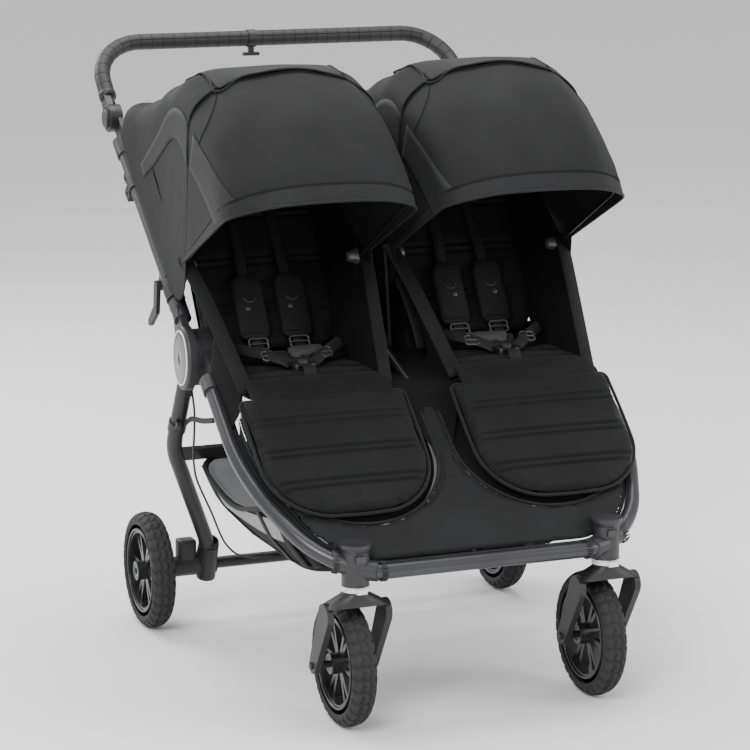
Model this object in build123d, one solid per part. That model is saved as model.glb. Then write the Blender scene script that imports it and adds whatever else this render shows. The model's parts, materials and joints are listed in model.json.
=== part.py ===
from build123d import *
import os
from math import atan2, cos, degrees, hypot, radians, sin, tan

# Side-by-side double all-terrain stroller.
# Millimetres, +Z up, the front of the stroller towards -Y, standing on z = 0.
# "left" and "right" are the pusher's: left is +X, right is -X.
# Every sided part is drawn on the +X side and mirrored.

os.makedirs("parts", exist_ok=True)

# ---------------------------------------------------------------- driving dimensions
WHEEL_RADIUS = 108.0
TYRE_WIDTH = 44.0
TYRE_INNER_RADIUS = 78.0
HUB_LENGTH = 52.0
HUB_RADIUS = 18.0
AXLE_RADIUS = 6.0
RUNNING_CLEARANCE = 0.05
BODY_GAP = 0.3

REAR_WHEEL_X = 356.0
REAR_AXLE_Y = 213.0
SWIVEL_X = 228.0
SWIVEL_Y = -510.0
FORK_TRAIL = 52.0

FRAME_TUBE_RADIUS = 13.0
FRONT_TUBE_Y = -526.0
FRONT_TUBE_Z = 277.0
FRONT_TUBE_SLOPE = 33.5
# Corners of the front tube's path on the +X side: X, and the distance up the slope.
FRONT_TUBE_TOP = (352.0, 471.0)
FRONT_TUBE_SHOULDER = (360.0, 235.0)
FRONT_TUBE_HIP = (290.0, 42.0)
FRONT_TUBE_CORNER_X = 200.0
FRONT_TUBE_RADII = [105.0, 180.0, 450.0]

FOLD_Y = -45.0
FOLD_Z = 558.0
HUB_DISC_RADIUS = 50.0
FOLD_PIN_RADIUS = 7.0
ROOT_LAYER = (325.0, 345.0)
LEG_LAYER = (345.3, 356.0)
COVER_LAYER = (356.3, 373.0)

UPPER_TUBE_X = 360.0
UPPER_TUBE_OFFSET = 37.0
HANDLE_HINGE_Y = 384.0
HANDLE_HINGE_Z = 932.0
HANDLE_BAR_Y = 512.0
HANDLE_BAR_Z = 1060.0
HANDLE_X = 358.0
HANDLE_BEND_RADIUS = 92.0
HANDLE_TUBE_RADIUS = 11.0
GRIP_RADIUS = 15.0

CANOPY_Y = -29.0
CANOPY_Z = 716.0
CANOPY_X = 196.0
SEAT_X = 193.0
CANOPY_RIM_ANGLE = 154.5
CANOPY_CROWN_ANGLE = 101.7
CANOPY_RADIUS = 341.0
CANOPY_HALF_WIDTH = 172.0
FABRIC_THICKNESS = 3.0

SEAT_HALF_WIDTH = 136.0
SEAT_CREASE_Y = -50.0
SEAT_CREASE_Z = 545.0
SEAT_FRONT_Y = -250.0
SEAT_THICKNESS = 30.0
SEAT_BACK_ANGLE = 58.0
SEAT_BACK_WIDTH = 262.0
SEAT_BACK_LENGTH = 455.0
SEAT_BACK_THICKNESS = 26.0
CALF_HINGE_Y = -256.0
CALF_HINGE_Z = 514.0
CALF_SLOPE = 41.0
CALF_LENGTH = 238.0
CALF_THICKNESS = 22.0

# The drawing's Y zero is near the fold hubs. Written parts are moved so that the origin is
# under the middle of the stroller's length.
ORIGIN_SHIFT_Y = 18.5

LOWER = (Align.CENTER, Align.CENTER, Align.MIN)


# ---------------------------------------------------------------- helpers
def rod(start, end, radius):
    """Round bar from one point to another."""
    start = Vector(*start)
    span = Vector(*end) - start
    return Plane(start, z_dir=span) * Cylinder(radius, span.length, align=LOWER)


def bent_tube(points, radii, outer, inner=0.0):
    """Round tube along straight runs joined by tangent arcs."""
    path = FilletPolyline(*points, radius=radii)
    ring = Circle(outer) - Circle(inner) if inner else Circle(outer)
    return sweep(Plane(path @ 0, z_dir=path % 0) * ring, path=path)


def side_plate(x_range, outline):
    """Flat plate: an outline in the Y-Z plane, with its faces at two X values."""
    return extrude(Plane.YZ.offset(x_range[0]) * outline, amount=x_range[1] - x_range[0], dir=(1, 0, 0))


def disc(x_range, y, z, radius):
    """Round plate that faces along X."""
    return side_plate(x_range, Pos(y, z) * Circle(radius))


def link(x_range, start, end, start_radius, end_radius):
    """Flat plate from one (y, z) point to another, with round ends of two radii."""
    along = degrees(atan2(end[1] - start[1], end[0] - start[0]))
    length = hypot(end[0] - start[0], end[1] - start[1])
    bar = Polygon(
        (0, -start_radius),
        (length, -end_radius),
        (length, end_radius),
        (0, start_radius),
        align=None,
    )
    outline = Circle(start_radius) + bar + Pos(length, 0) * Circle(end_radius)
    return side_plate(x_range, Pos(*start) * Rot(0, 0, along) * outline)


def mirrored(shape):
    """The same piece on the other side of the stroller."""
    return mirror(shape, about=Plane.YZ)


def both_sides(shape):
    return [shape, mirrored(shape)]


def on_slope(slope, along):
    """Unit-direction step in Y and Z, for a slope that rises towards the rear."""
    return along * cos(radians(slope)), along * sin(radians(slope))


def front_frame_point(x, along, lift=0.0):
    """Point in the front frame's plane: X, the distance up its slope, and the height off it."""
    run, rise = on_slope(FRONT_TUBE_SLOPE, along)
    across, up = on_slope(FRONT_TUBE_SLOPE + 90, lift)
    return x, FRONT_TUBE_Y + run + across, FRONT_TUBE_Z + rise + up


def save(node, *solids):
    """Writes one node, which may hold several separate solids."""
    shapes = []
    for solid in solids:
        shapes += solid if isinstance(solid, list) else [solid]
    moved = [Pos(0, ORIGIN_SHIFT_Y, 0) * shape.solid() for shape in shapes]
    whole = moved[0] if len(moved) == 1 else Compound(children=moved)
    export_step(whole, f"parts/{node}.step")


def save_pair(name, left):
    """Writes the +X piece as name_left and its mirror image as name_right."""
    save(f"{name}_left", left)
    save(f"{name}_right", mirrored(left))


# ---------------------------------------------------------------- front frame
SOCKET_RADIUS = 14.0


def stem_socket():
    """Space that the corner housing's socket takes out of the front tube."""
    return Pos(SWIVEL_X, SWIVEL_Y, HOUSING_BOTTOM) * Cylinder(SOCKET_RADIUS, 80, align=LOWER)


def front_tube_along(radius):
    """Round bar of a chosen radius along the whole front tube's path."""
    side = [
        front_frame_point(FRONT_TUBE_CORNER_X, 0),
        front_frame_point(*FRONT_TUBE_HIP),
        front_frame_point(*FRONT_TUBE_SHOULDER),
        front_frame_point(*FRONT_TUBE_TOP),
    ]
    points = [(-x, y, z) for x, y, z in reversed(side)] + side
    return bent_tube(points, FRONT_TUBE_RADII[::-1] + FRONT_TUBE_RADII, radius)


def make_front_tube():
    """U-shaped tube in three lengths, which the two corner housings join."""
    tube = front_tube_along(FRAME_TUBE_RADIUS)
    for socket in both_sides(stem_socket()):
        tube -= socket
    return tube


HOUSING_RADIUS = 23.0
HOUSING_BOTTOM = 255.0
HOUSING_TOP = 320.0
STEM_RADIUS = 10.0
STEM_TOP = 304.0
BUTTON_SIZE = (18.0, 11.0)
BUTTON_Z = 303.0


def make_front_housing(front_tube):
    """Corner housing: a socket for the fork's stem, with a flared flat cap."""
    barrel = Pos(SWIVEL_X, SWIVEL_Y, HOUSING_BOTTOM) * Cylinder(
        HOUSING_RADIUS, HOUSING_TOP - HOUSING_BOTTOM, align=LOWER
    )
    cap = Pos(SWIVEL_X, SWIVEL_Y, HOUSING_TOP) * Cylinder(HOUSING_RADIUS + 4, 6, align=LOWER)
    neck = Pos(SWIVEL_X, SWIVEL_Y, HOUSING_TOP - 8) * Cone(HOUSING_RADIUS, HOUSING_RADIUS + 4, 8, align=LOWER)
    reach = Pos(SWIVEL_X, SWIVEL_Y, HOUSING_BOTTOM) * Cylinder(HOUSING_RADIUS + 15, 90, align=LOWER)
    collars = front_tube_along(FRAME_TUBE_RADIUS + 3.5) & reach
    housing = barrel + cap + neck + collars
    bore = Pos(SWIVEL_X, SWIVEL_Y, HOUSING_BOTTOM - 1) * Cylinder(
        STEM_RADIUS + RUNNING_CLEARANCE, STEM_TOP - HOUSING_BOTTOM + 3, align=LOWER
    )
    recess = Pos(SWIVEL_X, SWIVEL_Y - HOUSING_RADIUS, BUTTON_Z) * Box(
        BUTTON_SIZE[0] + 0.6, 16, BUTTON_SIZE[1] + 0.6
    )
    return housing - bore - recess - front_tube


def make_wheel_release():
    """Push button in the housing's front face; it frees the fork's stem."""
    body = Pos(SWIVEL_X, SWIVEL_Y - HOUSING_RADIUS + 0.5, BUTTON_Z) * Box(BUTTON_SIZE[0], 9, BUTTON_SIZE[1])
    return fillet(body.edges().filter_by(Axis.Y), 3)


def make_front_hub(front_tube):
    """Inner layer of the fold hub, with the arm that takes the front tube's end and the fold pin."""
    top_x, top_along = FRONT_TUBE_TOP
    lean = (FRONT_TUBE_SHOULDER[0] - top_x) / (top_along - FRONT_TUBE_SHOULDER[1])
    start = front_frame_point(top_x + 34 * lean, top_along - 34)
    end = front_frame_point(top_x + 4 * lean, top_along - 4)
    sleeve = rod(start, end, FRAME_TUBE_RADIUS + 3.5)
    plate = disc(ROOT_LAYER, FOLD_Y, FOLD_Z, HUB_DISC_RADIUS)
    arm = link(ROOT_LAYER, (FOLD_Y, FOLD_Z), (start[1], start[2]), 40, 17)
    pin = disc((ROOT_LAYER[1] - 1, COVER_LAYER[1] - 4), FOLD_Y, FOLD_Z, FOLD_PIN_RADIUS)
    return plate + arm + sleeve + pin - front_tube


CENTRE_TUBE_RADIUS = 10.0


def make_centre_tube(front_tube):
    """Middle tube between the seats, from the front cross tube up to the middle fold pivot."""
    points = [
        (0, FRONT_TUBE_Y + 4, FRONT_TUBE_Z - 9),
        (0, -215, 501),
        (0, FOLD_Y - 8, FOLD_Z),
    ]
    tube = bent_tube(points, 120, CENTRE_TUBE_RADIUS)
    eye = disc((-11, 11), FOLD_Y, FOLD_Z, 20)
    pin = disc((-CENTRE_PLATE[1], CENTRE_PLATE[1]), FOLD_Y, FOLD_Z, FOLD_PIN_RADIUS)
    return tube + eye + pin - front_tube


# ---------------------------------------------------------------- upper frame
UPPER_SLOPE = degrees(
    atan2(HANDLE_HINGE_Z - FOLD_Z - 46.0, HANDLE_HINGE_Y - FOLD_Y)
)


def upper_point(along, lift=0.0):
    """(y, z) at a distance up the upper tube's line from beside the fold pivot."""
    run, rise = on_slope(UPPER_SLOPE, along)
    across, up = on_slope(UPPER_SLOPE + 90, UPPER_TUBE_OFFSET + lift)
    return FOLD_Y + run + across, FOLD_Z + rise + up


UPPER_TUBE_START = 54.0
UPPER_TUBE_END = hypot(HANDLE_HINGE_Y - FOLD_Y, HANDLE_HINGE_Z - FOLD_Z - 46.0) - 34.0


def make_upper_tube():
    start = upper_point(UPPER_TUBE_START)
    end = upper_point(UPPER_TUBE_END)
    return rod((UPPER_TUBE_X, *start), (UPPER_TUBE_X, *end), FRAME_TUBE_RADIUS)


def make_hub_cover(upper_tube):
    """Outer casing of the fold hub, with the socket of the upper tube."""
    casing = side_plate(COVER_LAYER, Pos(FOLD_Y, FOLD_Z) * Ellipse(47.5, 57.5))
    casing = fillet(casing.faces().sort_by(Axis.X)[-1].edges(), 5)
    arm = link((COVER_LAYER[0], COVER_LAYER[1] - 3), (FOLD_Y, FOLD_Z + 20), upper_point(UPPER_TUBE_START + 20), 30, 15)
    low = upper_point(UPPER_TUBE_START + 2)
    high = upper_point(UPPER_TUBE_START + 44)
    sleeve = rod((UPPER_TUBE_X, *low), (UPPER_TUBE_X, *high), FRAME_TUBE_RADIUS + 2.5)
    bore = disc((COVER_LAYER[0] - 1, COVER_LAYER[1] - 3), FOLD_Y, FOLD_Z, FOLD_PIN_RADIUS + RUNNING_CLEARANCE)
    return casing + arm + sleeve - bore - upper_tube


CROSS_TUBE_ALONG = 492.0
CROSS_TUBE_RADIUS = 9.0


def make_upper_cross_tube(upper_tubes):
    """Cross tube between the upper tubes, below the handle's hinges."""
    y, z = upper_point(CROSS_TUBE_ALONG)
    cross = rod((-UPPER_TUBE_X, y, z), (UPPER_TUBE_X, y, z), CROSS_TUBE_RADIUS)
    for tube in upper_tubes:
        cross -= tube
    return cross


CENTRE_PLATE = (11.3, 17.0)
KNOB_STUB_RADIUS = 8.0


def make_upper_centre_tube(cross_tube):
    """Middle tube of the upper frame, with two plates that hold it to the middle pivot and carry the inner knobs."""
    tube = rod((0, *upper_point(100)), (0, *upper_point(CROSS_TUBE_ALONG)), 14)
    plate = link(CENTRE_PLATE, (FOLD_Y, FOLD_Z), (CANOPY_Y, CANOPY_Z), 20, 14)
    brace = link(CENTRE_PLATE, (FOLD_Y, FOLD_Z), upper_point(116), 20, 13)
    stub = disc((CENTRE_PLATE[0], 25.7), CANOPY_Y, CANOPY_Z, KNOB_STUB_RADIUS)
    bore = disc((CENTRE_PLATE[0] - 1, CENTRE_PLATE[1] + 1), FOLD_Y, FOLD_Z, FOLD_PIN_RADIUS + RUNNING_CLEARANCE)
    side = plate + brace + stub - bore
    return tube + side + mirrored(side) - cross_tube


def make_canopy_mount(upper_tube):
    """Bracket that stands on the upper tube and carries the outer canopy knob."""
    foot = upper_point(118)
    clamp = rod((UPPER_TUBE_X, *upper_point(103)), (UPPER_TUBE_X, *upper_point(133)), FRAME_TUBE_RADIUS + 4)
    arm = link((353, 357), foot, (CANOPY_Y, CANOPY_Z), 15, 15)
    return clamp + arm - upper_tube


def make_handle_hinge(upper_tube, cross_tube):
    """Inner cheek of the handle's hinge, with the socket of the upper tube's end."""
    cheek = disc((347, 357), HANDLE_HINGE_Y, HANDLE_HINGE_Z, 26)
    low = upper_point(UPPER_TUBE_END - 40)
    high = upper_point(UPPER_TUBE_END)
    sleeve = rod((UPPER_TUBE_X, *low), (UPPER_TUBE_X, *high), FRAME_TUBE_RADIUS + 2.5)
    arm = link((347, 357), upper_point(UPPER_TUBE_END - 8), (HANDLE_HINGE_Y, HANDLE_HINGE_Z), 14, 20)
    pin = disc((356, 365), HANDLE_HINGE_Y, HANDLE_HINGE_Z, 6)
    swept = disc((357, 400), HANDLE_HINGE_Y, HANDLE_HINGE_Z, 26 + BODY_GAP)
    return cheek + arm + (sleeve - swept) + pin - upper_tube - cross_tube


ACCESSORY_ALONG = 392.0
ACCESSORY_BORE_RADIUS = 4.0
ACCESSORY_BORE_DEPTH = 12.0


def make_accessory_bracket(upper_tube):
    """Clamp below the handle hinge with a blind socket, for a cup holder or console."""
    low = upper_point(ACCESSORY_ALONG - 13)
    high = upper_point(ACCESSORY_ALONG + 13)
    clamp = rod((UPPER_TUBE_X, *low), (UPPER_TUBE_X, *high), FRAME_TUBE_RADIUS + 3)
    block_y, block_z = upper_point(ACCESSORY_ALONG, -22)
    block = Pos(UPPER_TUBE_X, block_y, block_z) * Rot(UPPER_SLOPE, 0, 0) * Box(26, 24, 18)
    bore = disc(
        (UPPER_TUBE_X + 13 - ACCESSORY_BORE_DEPTH, UPPER_TUBE_X + 14), block_y, block_z, ACCESSORY_BORE_RADIUS
    )
    return clamp + block - bore - upper_tube


# ---------------------------------------------------------------- rear frame
LEG_SLOPE = degrees(atan2(WHEEL_RADIUS - FOLD_Z, REAR_AXLE_Y - FOLD_Y))
LEG_RADIUS = 14.0
LEG_TOP_Z = FOLD_Z - 54.0
LEG_FOOT_X = 246.0


def leg_point(x, z):
    """Point of the rear leg's centre line, which is straight in the side view."""
    return x, FOLD_Y + (z - FOLD_Z) / tan(radians(LEG_SLOPE)), z


def make_rear_leg():
    """Rear leg: an eye in the middle layer of the fold hub and a tube that bends in past the wheel."""
    top = leg_point(LEG_LAYER[1] - 1, LEG_TOP_Z)
    points = [top, leg_point(LEG_LAYER[1] - 1, 372), leg_point(258, 170), leg_point(LEG_FOOT_X, 132)]
    tube = bent_tube(points, [150, 70], LEG_RADIUS)
    eye = disc(LEG_LAYER, FOLD_Y, FOLD_Z, HUB_DISC_RADIUS)
    neck = link(LEG_LAYER, (FOLD_Y, FOLD_Z), (top[1] + 6, top[2] - 12), 32, 14)
    bore = disc((LEG_LAYER[0] - 1, LEG_LAYER[1] + 1), FOLD_Y, FOLD_Z, FOLD_PIN_RADIUS + RUNNING_CLEARANCE)
    swept_cover = side_plate((COVER_LAYER[0] - BODY_GAP, 400), Pos(FOLD_Y, FOLD_Z) * Circle(58.5))
    return (tube - swept_cover) + eye + neck - bore


BRAKE_PIN_RADIUS = 3.0
BRAKE_PIN_LIFT = 13.0
HUB_INNER_X = REAR_WHEEL_X - HUB_LENGTH / 2


def make_axle_housing(rear_leg):
    """Foot of the rear leg: an upright sleeve and a round stub that carries the wheel's axle."""
    high = leg_point(LEG_FOOT_X, 150)
    sleeve = rod((LEG_FOOT_X, REAR_AXLE_Y, 84), (LEG_FOOT_X, high[1], high[2]), 18)
    stub = disc((LEG_FOOT_X - 18, HUB_INNER_X - 1), REAR_AXLE_Y, WHEEL_RADIUS, 19)
    axle_bore = disc((LEG_FOOT_X - 20, HUB_INNER_X + 1), REAR_AXLE_Y, WHEEL_RADIUS, AXLE_RADIUS)
    pin_bore = disc(
        (HUB_INNER_X - 32, HUB_INNER_X + 1),
        REAR_AXLE_Y,
        WHEEL_RADIUS + BRAKE_PIN_LIFT,
        BRAKE_PIN_RADIUS + RUNNING_CLEARANCE,
    )
    return sleeve + stub - axle_bore - pin_bore - rear_leg


def make_rear_axle():
    """Axle tube between the feet, with a thinner end through each wheel."""
    tube = rod((-LEG_FOOT_X + 18, REAR_AXLE_Y, WHEEL_RADIUS), (LEG_FOOT_X - 18, REAR_AXLE_Y, WHEEL_RADIUS), 11)
    end = REAR_WHEEL_X + 21
    shaft = rod((-end, REAR_AXLE_Y, WHEEL_RADIUS), (end, REAR_AXLE_Y, WHEEL_RADIUS), AXLE_RADIUS)
    return tube + shaft


def make_brake_pin():
    """Locking pin that slides out into the groove of the wheel's hub."""
    return disc(
        (HUB_INNER_X - 26, HUB_INNER_X - 2), REAR_AXLE_Y, WHEEL_RADIUS + BRAKE_PIN_LIFT, BRAKE_PIN_RADIUS
    )


REAR_BAR_Z = 358.0


def make_rear_cross_bar(rear_legs):
    """Flat bar between the rear legs, which the basket's rear rim hangs from."""
    y = leg_point(0, REAR_BAR_Z)[1]
    bar = Pos(0, y, REAR_BAR_Z) * Rot(LEG_SLOPE + 90, 0, 0) * Box(2 * LEG_LAYER[1], 9, 26)
    for leg in rear_legs:
        bar -= leg
    return bar


# ---------------------------------------------------------------- handle
def handle_direction():
    run = HANDLE_BAR_Y - HANDLE_HINGE_Y
    rise = HANDLE_BAR_Z - HANDLE_HINGE_Z
    length = hypot(run, rise)
    return run / length, rise / length, length


def handle_path(start_along):
    dy, dz, _ = handle_direction()
    start = (HANDLE_HINGE_Y + dy * start_along, HANDLE_HINGE_Z + dz * start_along)
    corner = (HANDLE_BAR_Y, HANDLE_BAR_Z)
    return [
        (-HANDLE_X, *start),
        (-HANDLE_X, *corner),
        (HANDLE_X, *corner),
        (HANDLE_X, *start),
    ]


HANDLE_BOSS = (357.3, 370.0)
HANDLE_BUTTON_RADIUS = 17.0


def make_handle_tube():
    """Handlebar: a U-shaped tube with a hinge boss at each end."""
    tube = bent_tube(handle_path(30), HANDLE_BEND_RADIUS, HANDLE_TUBE_RADIUS)
    dy, dz, _ = handle_direction()
    boss = disc(HANDLE_BOSS, HANDLE_HINGE_Y, HANDLE_HINGE_Z, 26)
    neck = link(
        (HANDLE_BOSS[0], HANDLE_BOSS[1] - 1),
        (HANDLE_HINGE_Y, HANDLE_HINGE_Z),
        (HANDLE_HINGE_Y + dy * 44, HANDLE_HINGE_Z + dz * 44),
        20,
        12.5,
    )
    side = boss + neck
    pin_bore = disc((356, 367), HANDLE_HINGE_Y, HANDLE_HINGE_Z, 6 + RUNNING_CLEARANCE)
    recess = disc((366.4, 390), HANDLE_HINGE_Y, HANDLE_HINGE_Z, HANDLE_BUTTON_RADIUS + 0.4)
    handle = tube + side + mirrored(side)
    for cut in both_sides(pin_bore) + both_sides(recess):
        handle -= cut
    return handle


def make_handle_button():
    """Round button on the outside of the handle's hinge."""
    button = disc((370.5, 377), HANDLE_HINGE_Y, HANDLE_HINGE_Z, HANDLE_BUTTON_RADIUS)
    return fillet(button.faces().sort_by(Axis.X)[-1].edges(), 2)


def make_grip():
    return bent_tube(handle_path(50), HANDLE_BEND_RADIUS, GRIP_RADIUS, HANDLE_TUBE_RADIUS)


STRAP_CLIP_X = -42.0


def make_strap_clip():
    """Small T-shaped clip that hangs under the crossbar."""
    stem = Pos(STRAP_CLIP_X, HANDLE_BAR_Y, HANDLE_BAR_Z - GRIP_RADIUS - 6) * Box(10, 8, 13)
    bar = Pos(STRAP_CLIP_X, HANDLE_BAR_Y, HANDLE_BAR_Z - GRIP_RADIUS - 15) * Box(32, 10, 6)
    ring = rod(
        (STRAP_CLIP_X - 8, HANDLE_BAR_Y, HANDLE_BAR_Z), (STRAP_CLIP_X + 8, HANDLE_BAR_Y, HANDLE_BAR_Z), GRIP_RADIUS + 2
    )
    hole = rod(
        (STRAP_CLIP_X - 9, HANDLE_BAR_Y, HANDLE_BAR_Z), (STRAP_CLIP_X + 9, HANDLE_BAR_Y, HANDLE_BAR_Z), GRIP_RADIUS
    )
    return ring + stem + bar - hole


# ---------------------------------------------------------------- canopies
def canopy_outline(half_width, top_radius, inset):
    """Closed outline of a canopy's cross-section: sideways, and outwards from the knob axis."""
    half = half_width - inset
    shoulder = top_radius - 48 - inset
    base = 26.0
    edge = FilletPolyline(
        (-half, base), (-half, shoulder), (0, top_radius + 12 - inset), (half, shoulder), (half, base),
        radius=[68 - inset, 260, 68 - inset],
    )
    return make_face(edge + Line((half, base), (-half, base)))


def fan(x, angle):
    """Plane through the canopy's knob axis; its local X is across and its local Y is outwards."""
    outward = Vector(0, cos(radians(angle)), sin(radians(angle)))
    return Plane((x, CANOPY_Y, CANOPY_Z), x_dir=(1, 0, 0), z_dir=Vector(1, 0, 0).cross(outward))


def canopy_sector(half_width, top_radius, inset, start_angle, end_angle):
    """Solid swept by the cross-section about the knob axis."""
    face = fan(CANOPY_X, start_angle) * canopy_outline(half_width, top_radius, inset)
    axis = Axis((CANOPY_X, CANOPY_Y, CANOPY_Z), (1, 0, 0))
    return revolve(face, axis=axis, revolution_arc=end_angle - start_angle)


def make_canopy_front():
    """Front half of the canopy, which turns on the knobs and nests inside the rear half."""
    args = (CANOPY_CROWN_ANGLE + 1.3, CANOPY_RIM_ANGLE)
    outer = canopy_sector(CANOPY_HALF_WIDTH, CANOPY_RADIUS, 0, *args)
    inner = canopy_sector(CANOPY_HALF_WIDTH, CANOPY_RADIUS, FABRIC_THICKNESS, args[0] - 2, args[1] + 2)
    hub = disc((0, 400), CANOPY_Y, CANOPY_Z, 42)
    return outer - inner - hub


REAR_CANOPY_HALF_WIDTH = 175.5
REAR_CANOPY_LIFT = 18.5


def rear_canopy_outline(inset):
    """Side view of the rear half: flat top, then a slope down to the handle's hinges."""
    top = CANOPY_Z + CANOPY_RADIUS + 6 - inset
    front = CANOPY_CROWN_ANGLE + 1
    height = top - CANOPY_Z
    low_front = upper_point(38, REAR_CANOPY_LIFT)
    low_rear = upper_point(UPPER_TUBE_END - 24, REAR_CANOPY_LIFT)
    past = 4 * inset  # the hollow is cut past the open front and the open underside
    return Polygon(
        (low_front[0] - 30 - past, low_front[1] + 60),
        (CANOPY_Y + height / tan(radians(front)) - past, top),
        (-12, top),
        (38, 1036 - inset),
        (130, 1004 - inset),
        (low_rear[0] - inset, 974 - inset),
        (low_rear[0] - inset, low_rear[1] - past),
        (low_front[0], low_front[1] - past),
        align=None,
    )


def make_canopy_rear():
    """Rear half of the canopy: a shell that is open below and in front."""
    x_range = (CANOPY_X - REAR_CANOPY_HALF_WIDTH, CANOPY_X + REAR_CANOPY_HALF_WIDTH)
    outer = side_plate(x_range, rear_canopy_outline(0))
    top_edges = outer.edges().filter_by(GeomType.LINE).filter_by(lambda e: abs((e % 0.5).X) < 0.1)
    corners = [e for e in top_edges if e.center().Z > 980 and abs((e % 0.5).Y) > 0.3]
    outer = fillet(corners, 33)
    inner_x = (x_range[0] + FABRIC_THICKNESS, x_range[1] - FABRIC_THICKNESS)
    hollow = side_plate(inner_x, rear_canopy_outline(FABRIC_THICKNESS))
    hollow_edges = hollow.edges().filter_by(GeomType.LINE).filter_by(lambda e: abs((e % 0.5).X) < 0.1)
    hollow_corners = [e for e in hollow_edges if e.center().Z > 977 and abs((e % 0.5).Y) > 0.3]
    hollow = fillet(hollow_corners, 30)
    knob_hole = disc((x_range[0] - 1, inner_x[0] + 1), CANOPY_Y, CANOPY_Z, KNOB_STUB_RADIUS + 2)
    return outer - hollow - knob_hole


BOW_HALF_WIDTH = 165.5


def make_canopy_bow():
    """Wire bow of the canopy's front rim, with a knob disc at each end."""
    rim = fan(CANOPY_X, CANOPY_RIM_ANGLE - 3)
    radius = CANOPY_RADIUS - 8
    points = [(-BOW_HALF_WIDTH, 12), (-BOW_HALF_WIDTH, radius - 50), (0, radius + 8),
              (BOW_HALF_WIDTH, radius - 50), (BOW_HALF_WIDTH, 12)]
    flat_path = FilletPolyline(*points, radius=[60, 240, 60])
    path = rim * flat_path
    wire = sweep(Plane(path @ 0, z_dir=path % 0) * Circle(2.6), path=path)
    for x in (CANOPY_X - BOW_HALF_WIDTH, CANOPY_X + BOW_HALF_WIDTH):
        wire += disc((x - 4, x + 4), CANOPY_Y, CANOPY_Z, 17)
    return wire


# ---------------------------------------------------------------- seats
def make_seat_base():
    seat = Pos(SEAT_X, (SEAT_FRONT_Y + SEAT_CREASE_Y) / 2, SEAT_CREASE_Z - SEAT_THICKNESS / 2) * Box(
        2 * SEAT_HALF_WIDTH - 10, SEAT_CREASE_Y - SEAT_FRONT_Y, SEAT_THICKNESS
    )
    return fillet(seat.edges(), 9)


def seat_back_plane():
    up = Vector(0, cos(radians(SEAT_BACK_ANGLE)), sin(radians(SEAT_BACK_ANGLE)))
    return Plane((SEAT_X, SEAT_CREASE_Y + 4, SEAT_CREASE_Z), x_dir=(1, 0, 0), z_dir=Vector(1, 0, 0).cross(up))


def make_seat_back():
    """Backrest; local Y runs up it, and its front face is on the plane."""
    body = Pos(0, 16 + SEAT_BACK_LENGTH / 2, 0) * Box(SEAT_BACK_WIDTH, SEAT_BACK_LENGTH, SEAT_BACK_THICKNESS)
    body = fillet(body.edges().filter_by(Axis.Z), 50)
    body = fillet(body.faces().filter_by(Axis.Z).edges(), 8)
    return seat_back_plane() * (Pos(0, 0, -SEAT_BACK_THICKNESS / 2) * body)


HARNESS_PAD = (58.0, 128.0, 13.0)
HARNESS_LIFT = 12.0


def make_harness():
    """Two shoulder pads that lie on the backrest's front face."""
    pads = []
    for x in (-40, 40):
        pad = Pos(x, 92, HARNESS_PAD[2] / 2 + HARNESS_LIFT) * Box(*HARNESS_PAD)
        pads.append(seat_back_plane() * fillet(pad.edges(), 4))
    return pads


def make_calf_rest():
    """Leg pad that hangs from the seat's front edge, with a rounded lower end."""
    down = Vector(0, -cos(radians(CALF_SLOPE)), -sin(radians(CALF_SLOPE)))
    plane = Plane((SEAT_X, CALF_HINGE_Y, CALF_HINGE_Z), x_dir=(-1, 0, 0), z_dir=Vector(-1, 0, 0).cross(down))
    half = SEAT_HALF_WIDTH + 5
    outline = Pos(0, CALF_LENGTH / 2) * Rectangle(2 * half, CALF_LENGTH)
    outline = fillet(outline.vertices().sort_by(Axis.Y)[-2:], 100)
    body = extrude(outline, amount=CALF_THICKNESS)
    body = fillet(body.faces().filter_by(Axis.Z).edges(), 7)
    return plane * (Pos(0, 0, 1) * body)


APRON_SLOPE = 38.0


def make_seat_apron(front_tube):
    """Front fabric panel between the side tubes, with one scoop for each seat's leg pad."""
    plane = Plane(
        (0, FRONT_TUBE_Y, FRONT_TUBE_Z + 4), x_dir=(1, 0, 0),
        z_dir=(0, -sin(radians(APRON_SLOPE)), cos(radians(APRON_SLOPE))),
    )
    inner_edge = [(197, 15.5), (278, 56), (345, 251), (341, 342)]
    outline = Polygon(*[(-x, along) for x, along in reversed(inner_edge)], *inner_edge, align=None)
    front_corners = outline.vertices().sort_by(Axis.Y)
    outline = fillet(front_corners[:2], 85)
    hips = [v for v in outline.vertices() if abs(v.Y - 56) < 0.1]
    outline = fillet(hips, 150) if hips else outline
    for side in (-1, 1):
        scoop = Pos(side * 171, 92 + 240) * Rectangle(308, 480)
        outline -= fillet(scoop.vertices().sort_by(Axis.Y)[:2], 150)
    sheet = extrude(plane * outline, amount=FABRIC_THICKNESS + 1)
    for housing_space in both_sides(Pos(SWIVEL_X, SWIVEL_Y + 6, HOUSING_BOTTOM) * Cylinder(40, 100, align=LOWER)):
        sheet -= housing_space
    return sheet - front_tube


# ---------------------------------------------------------------- basket
def make_basket():
    """Storage basket under the seats: a tub that is open on top."""
    def tub(inset):
        floor = Pos(0, -150) * RectangleRounded(500 - 2 * inset, 356 - 2 * inset, 50)
        rim = Pos(0, -138) * RectangleRounded(560 - 2 * inset, 400 - 2 * inset, 50)
        sides = loft([Pos(0, 0, 214 + inset) * floor, Pos(0, 0, 345 + (2 if inset else 0)) * rim])
        return fillet(sides.faces().sort_by(Axis.Z)[0].edges(), 34 - inset)
    return tub(0) - tub(FABRIC_THICKNESS)


# ---------------------------------------------------------------- forks and wheels
FORK_ARM = (46.0, 57.0)
CROWN_BOTTOM = 222.0
CROWN_TOP = 246.0
RING_GAP = 0.3


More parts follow.
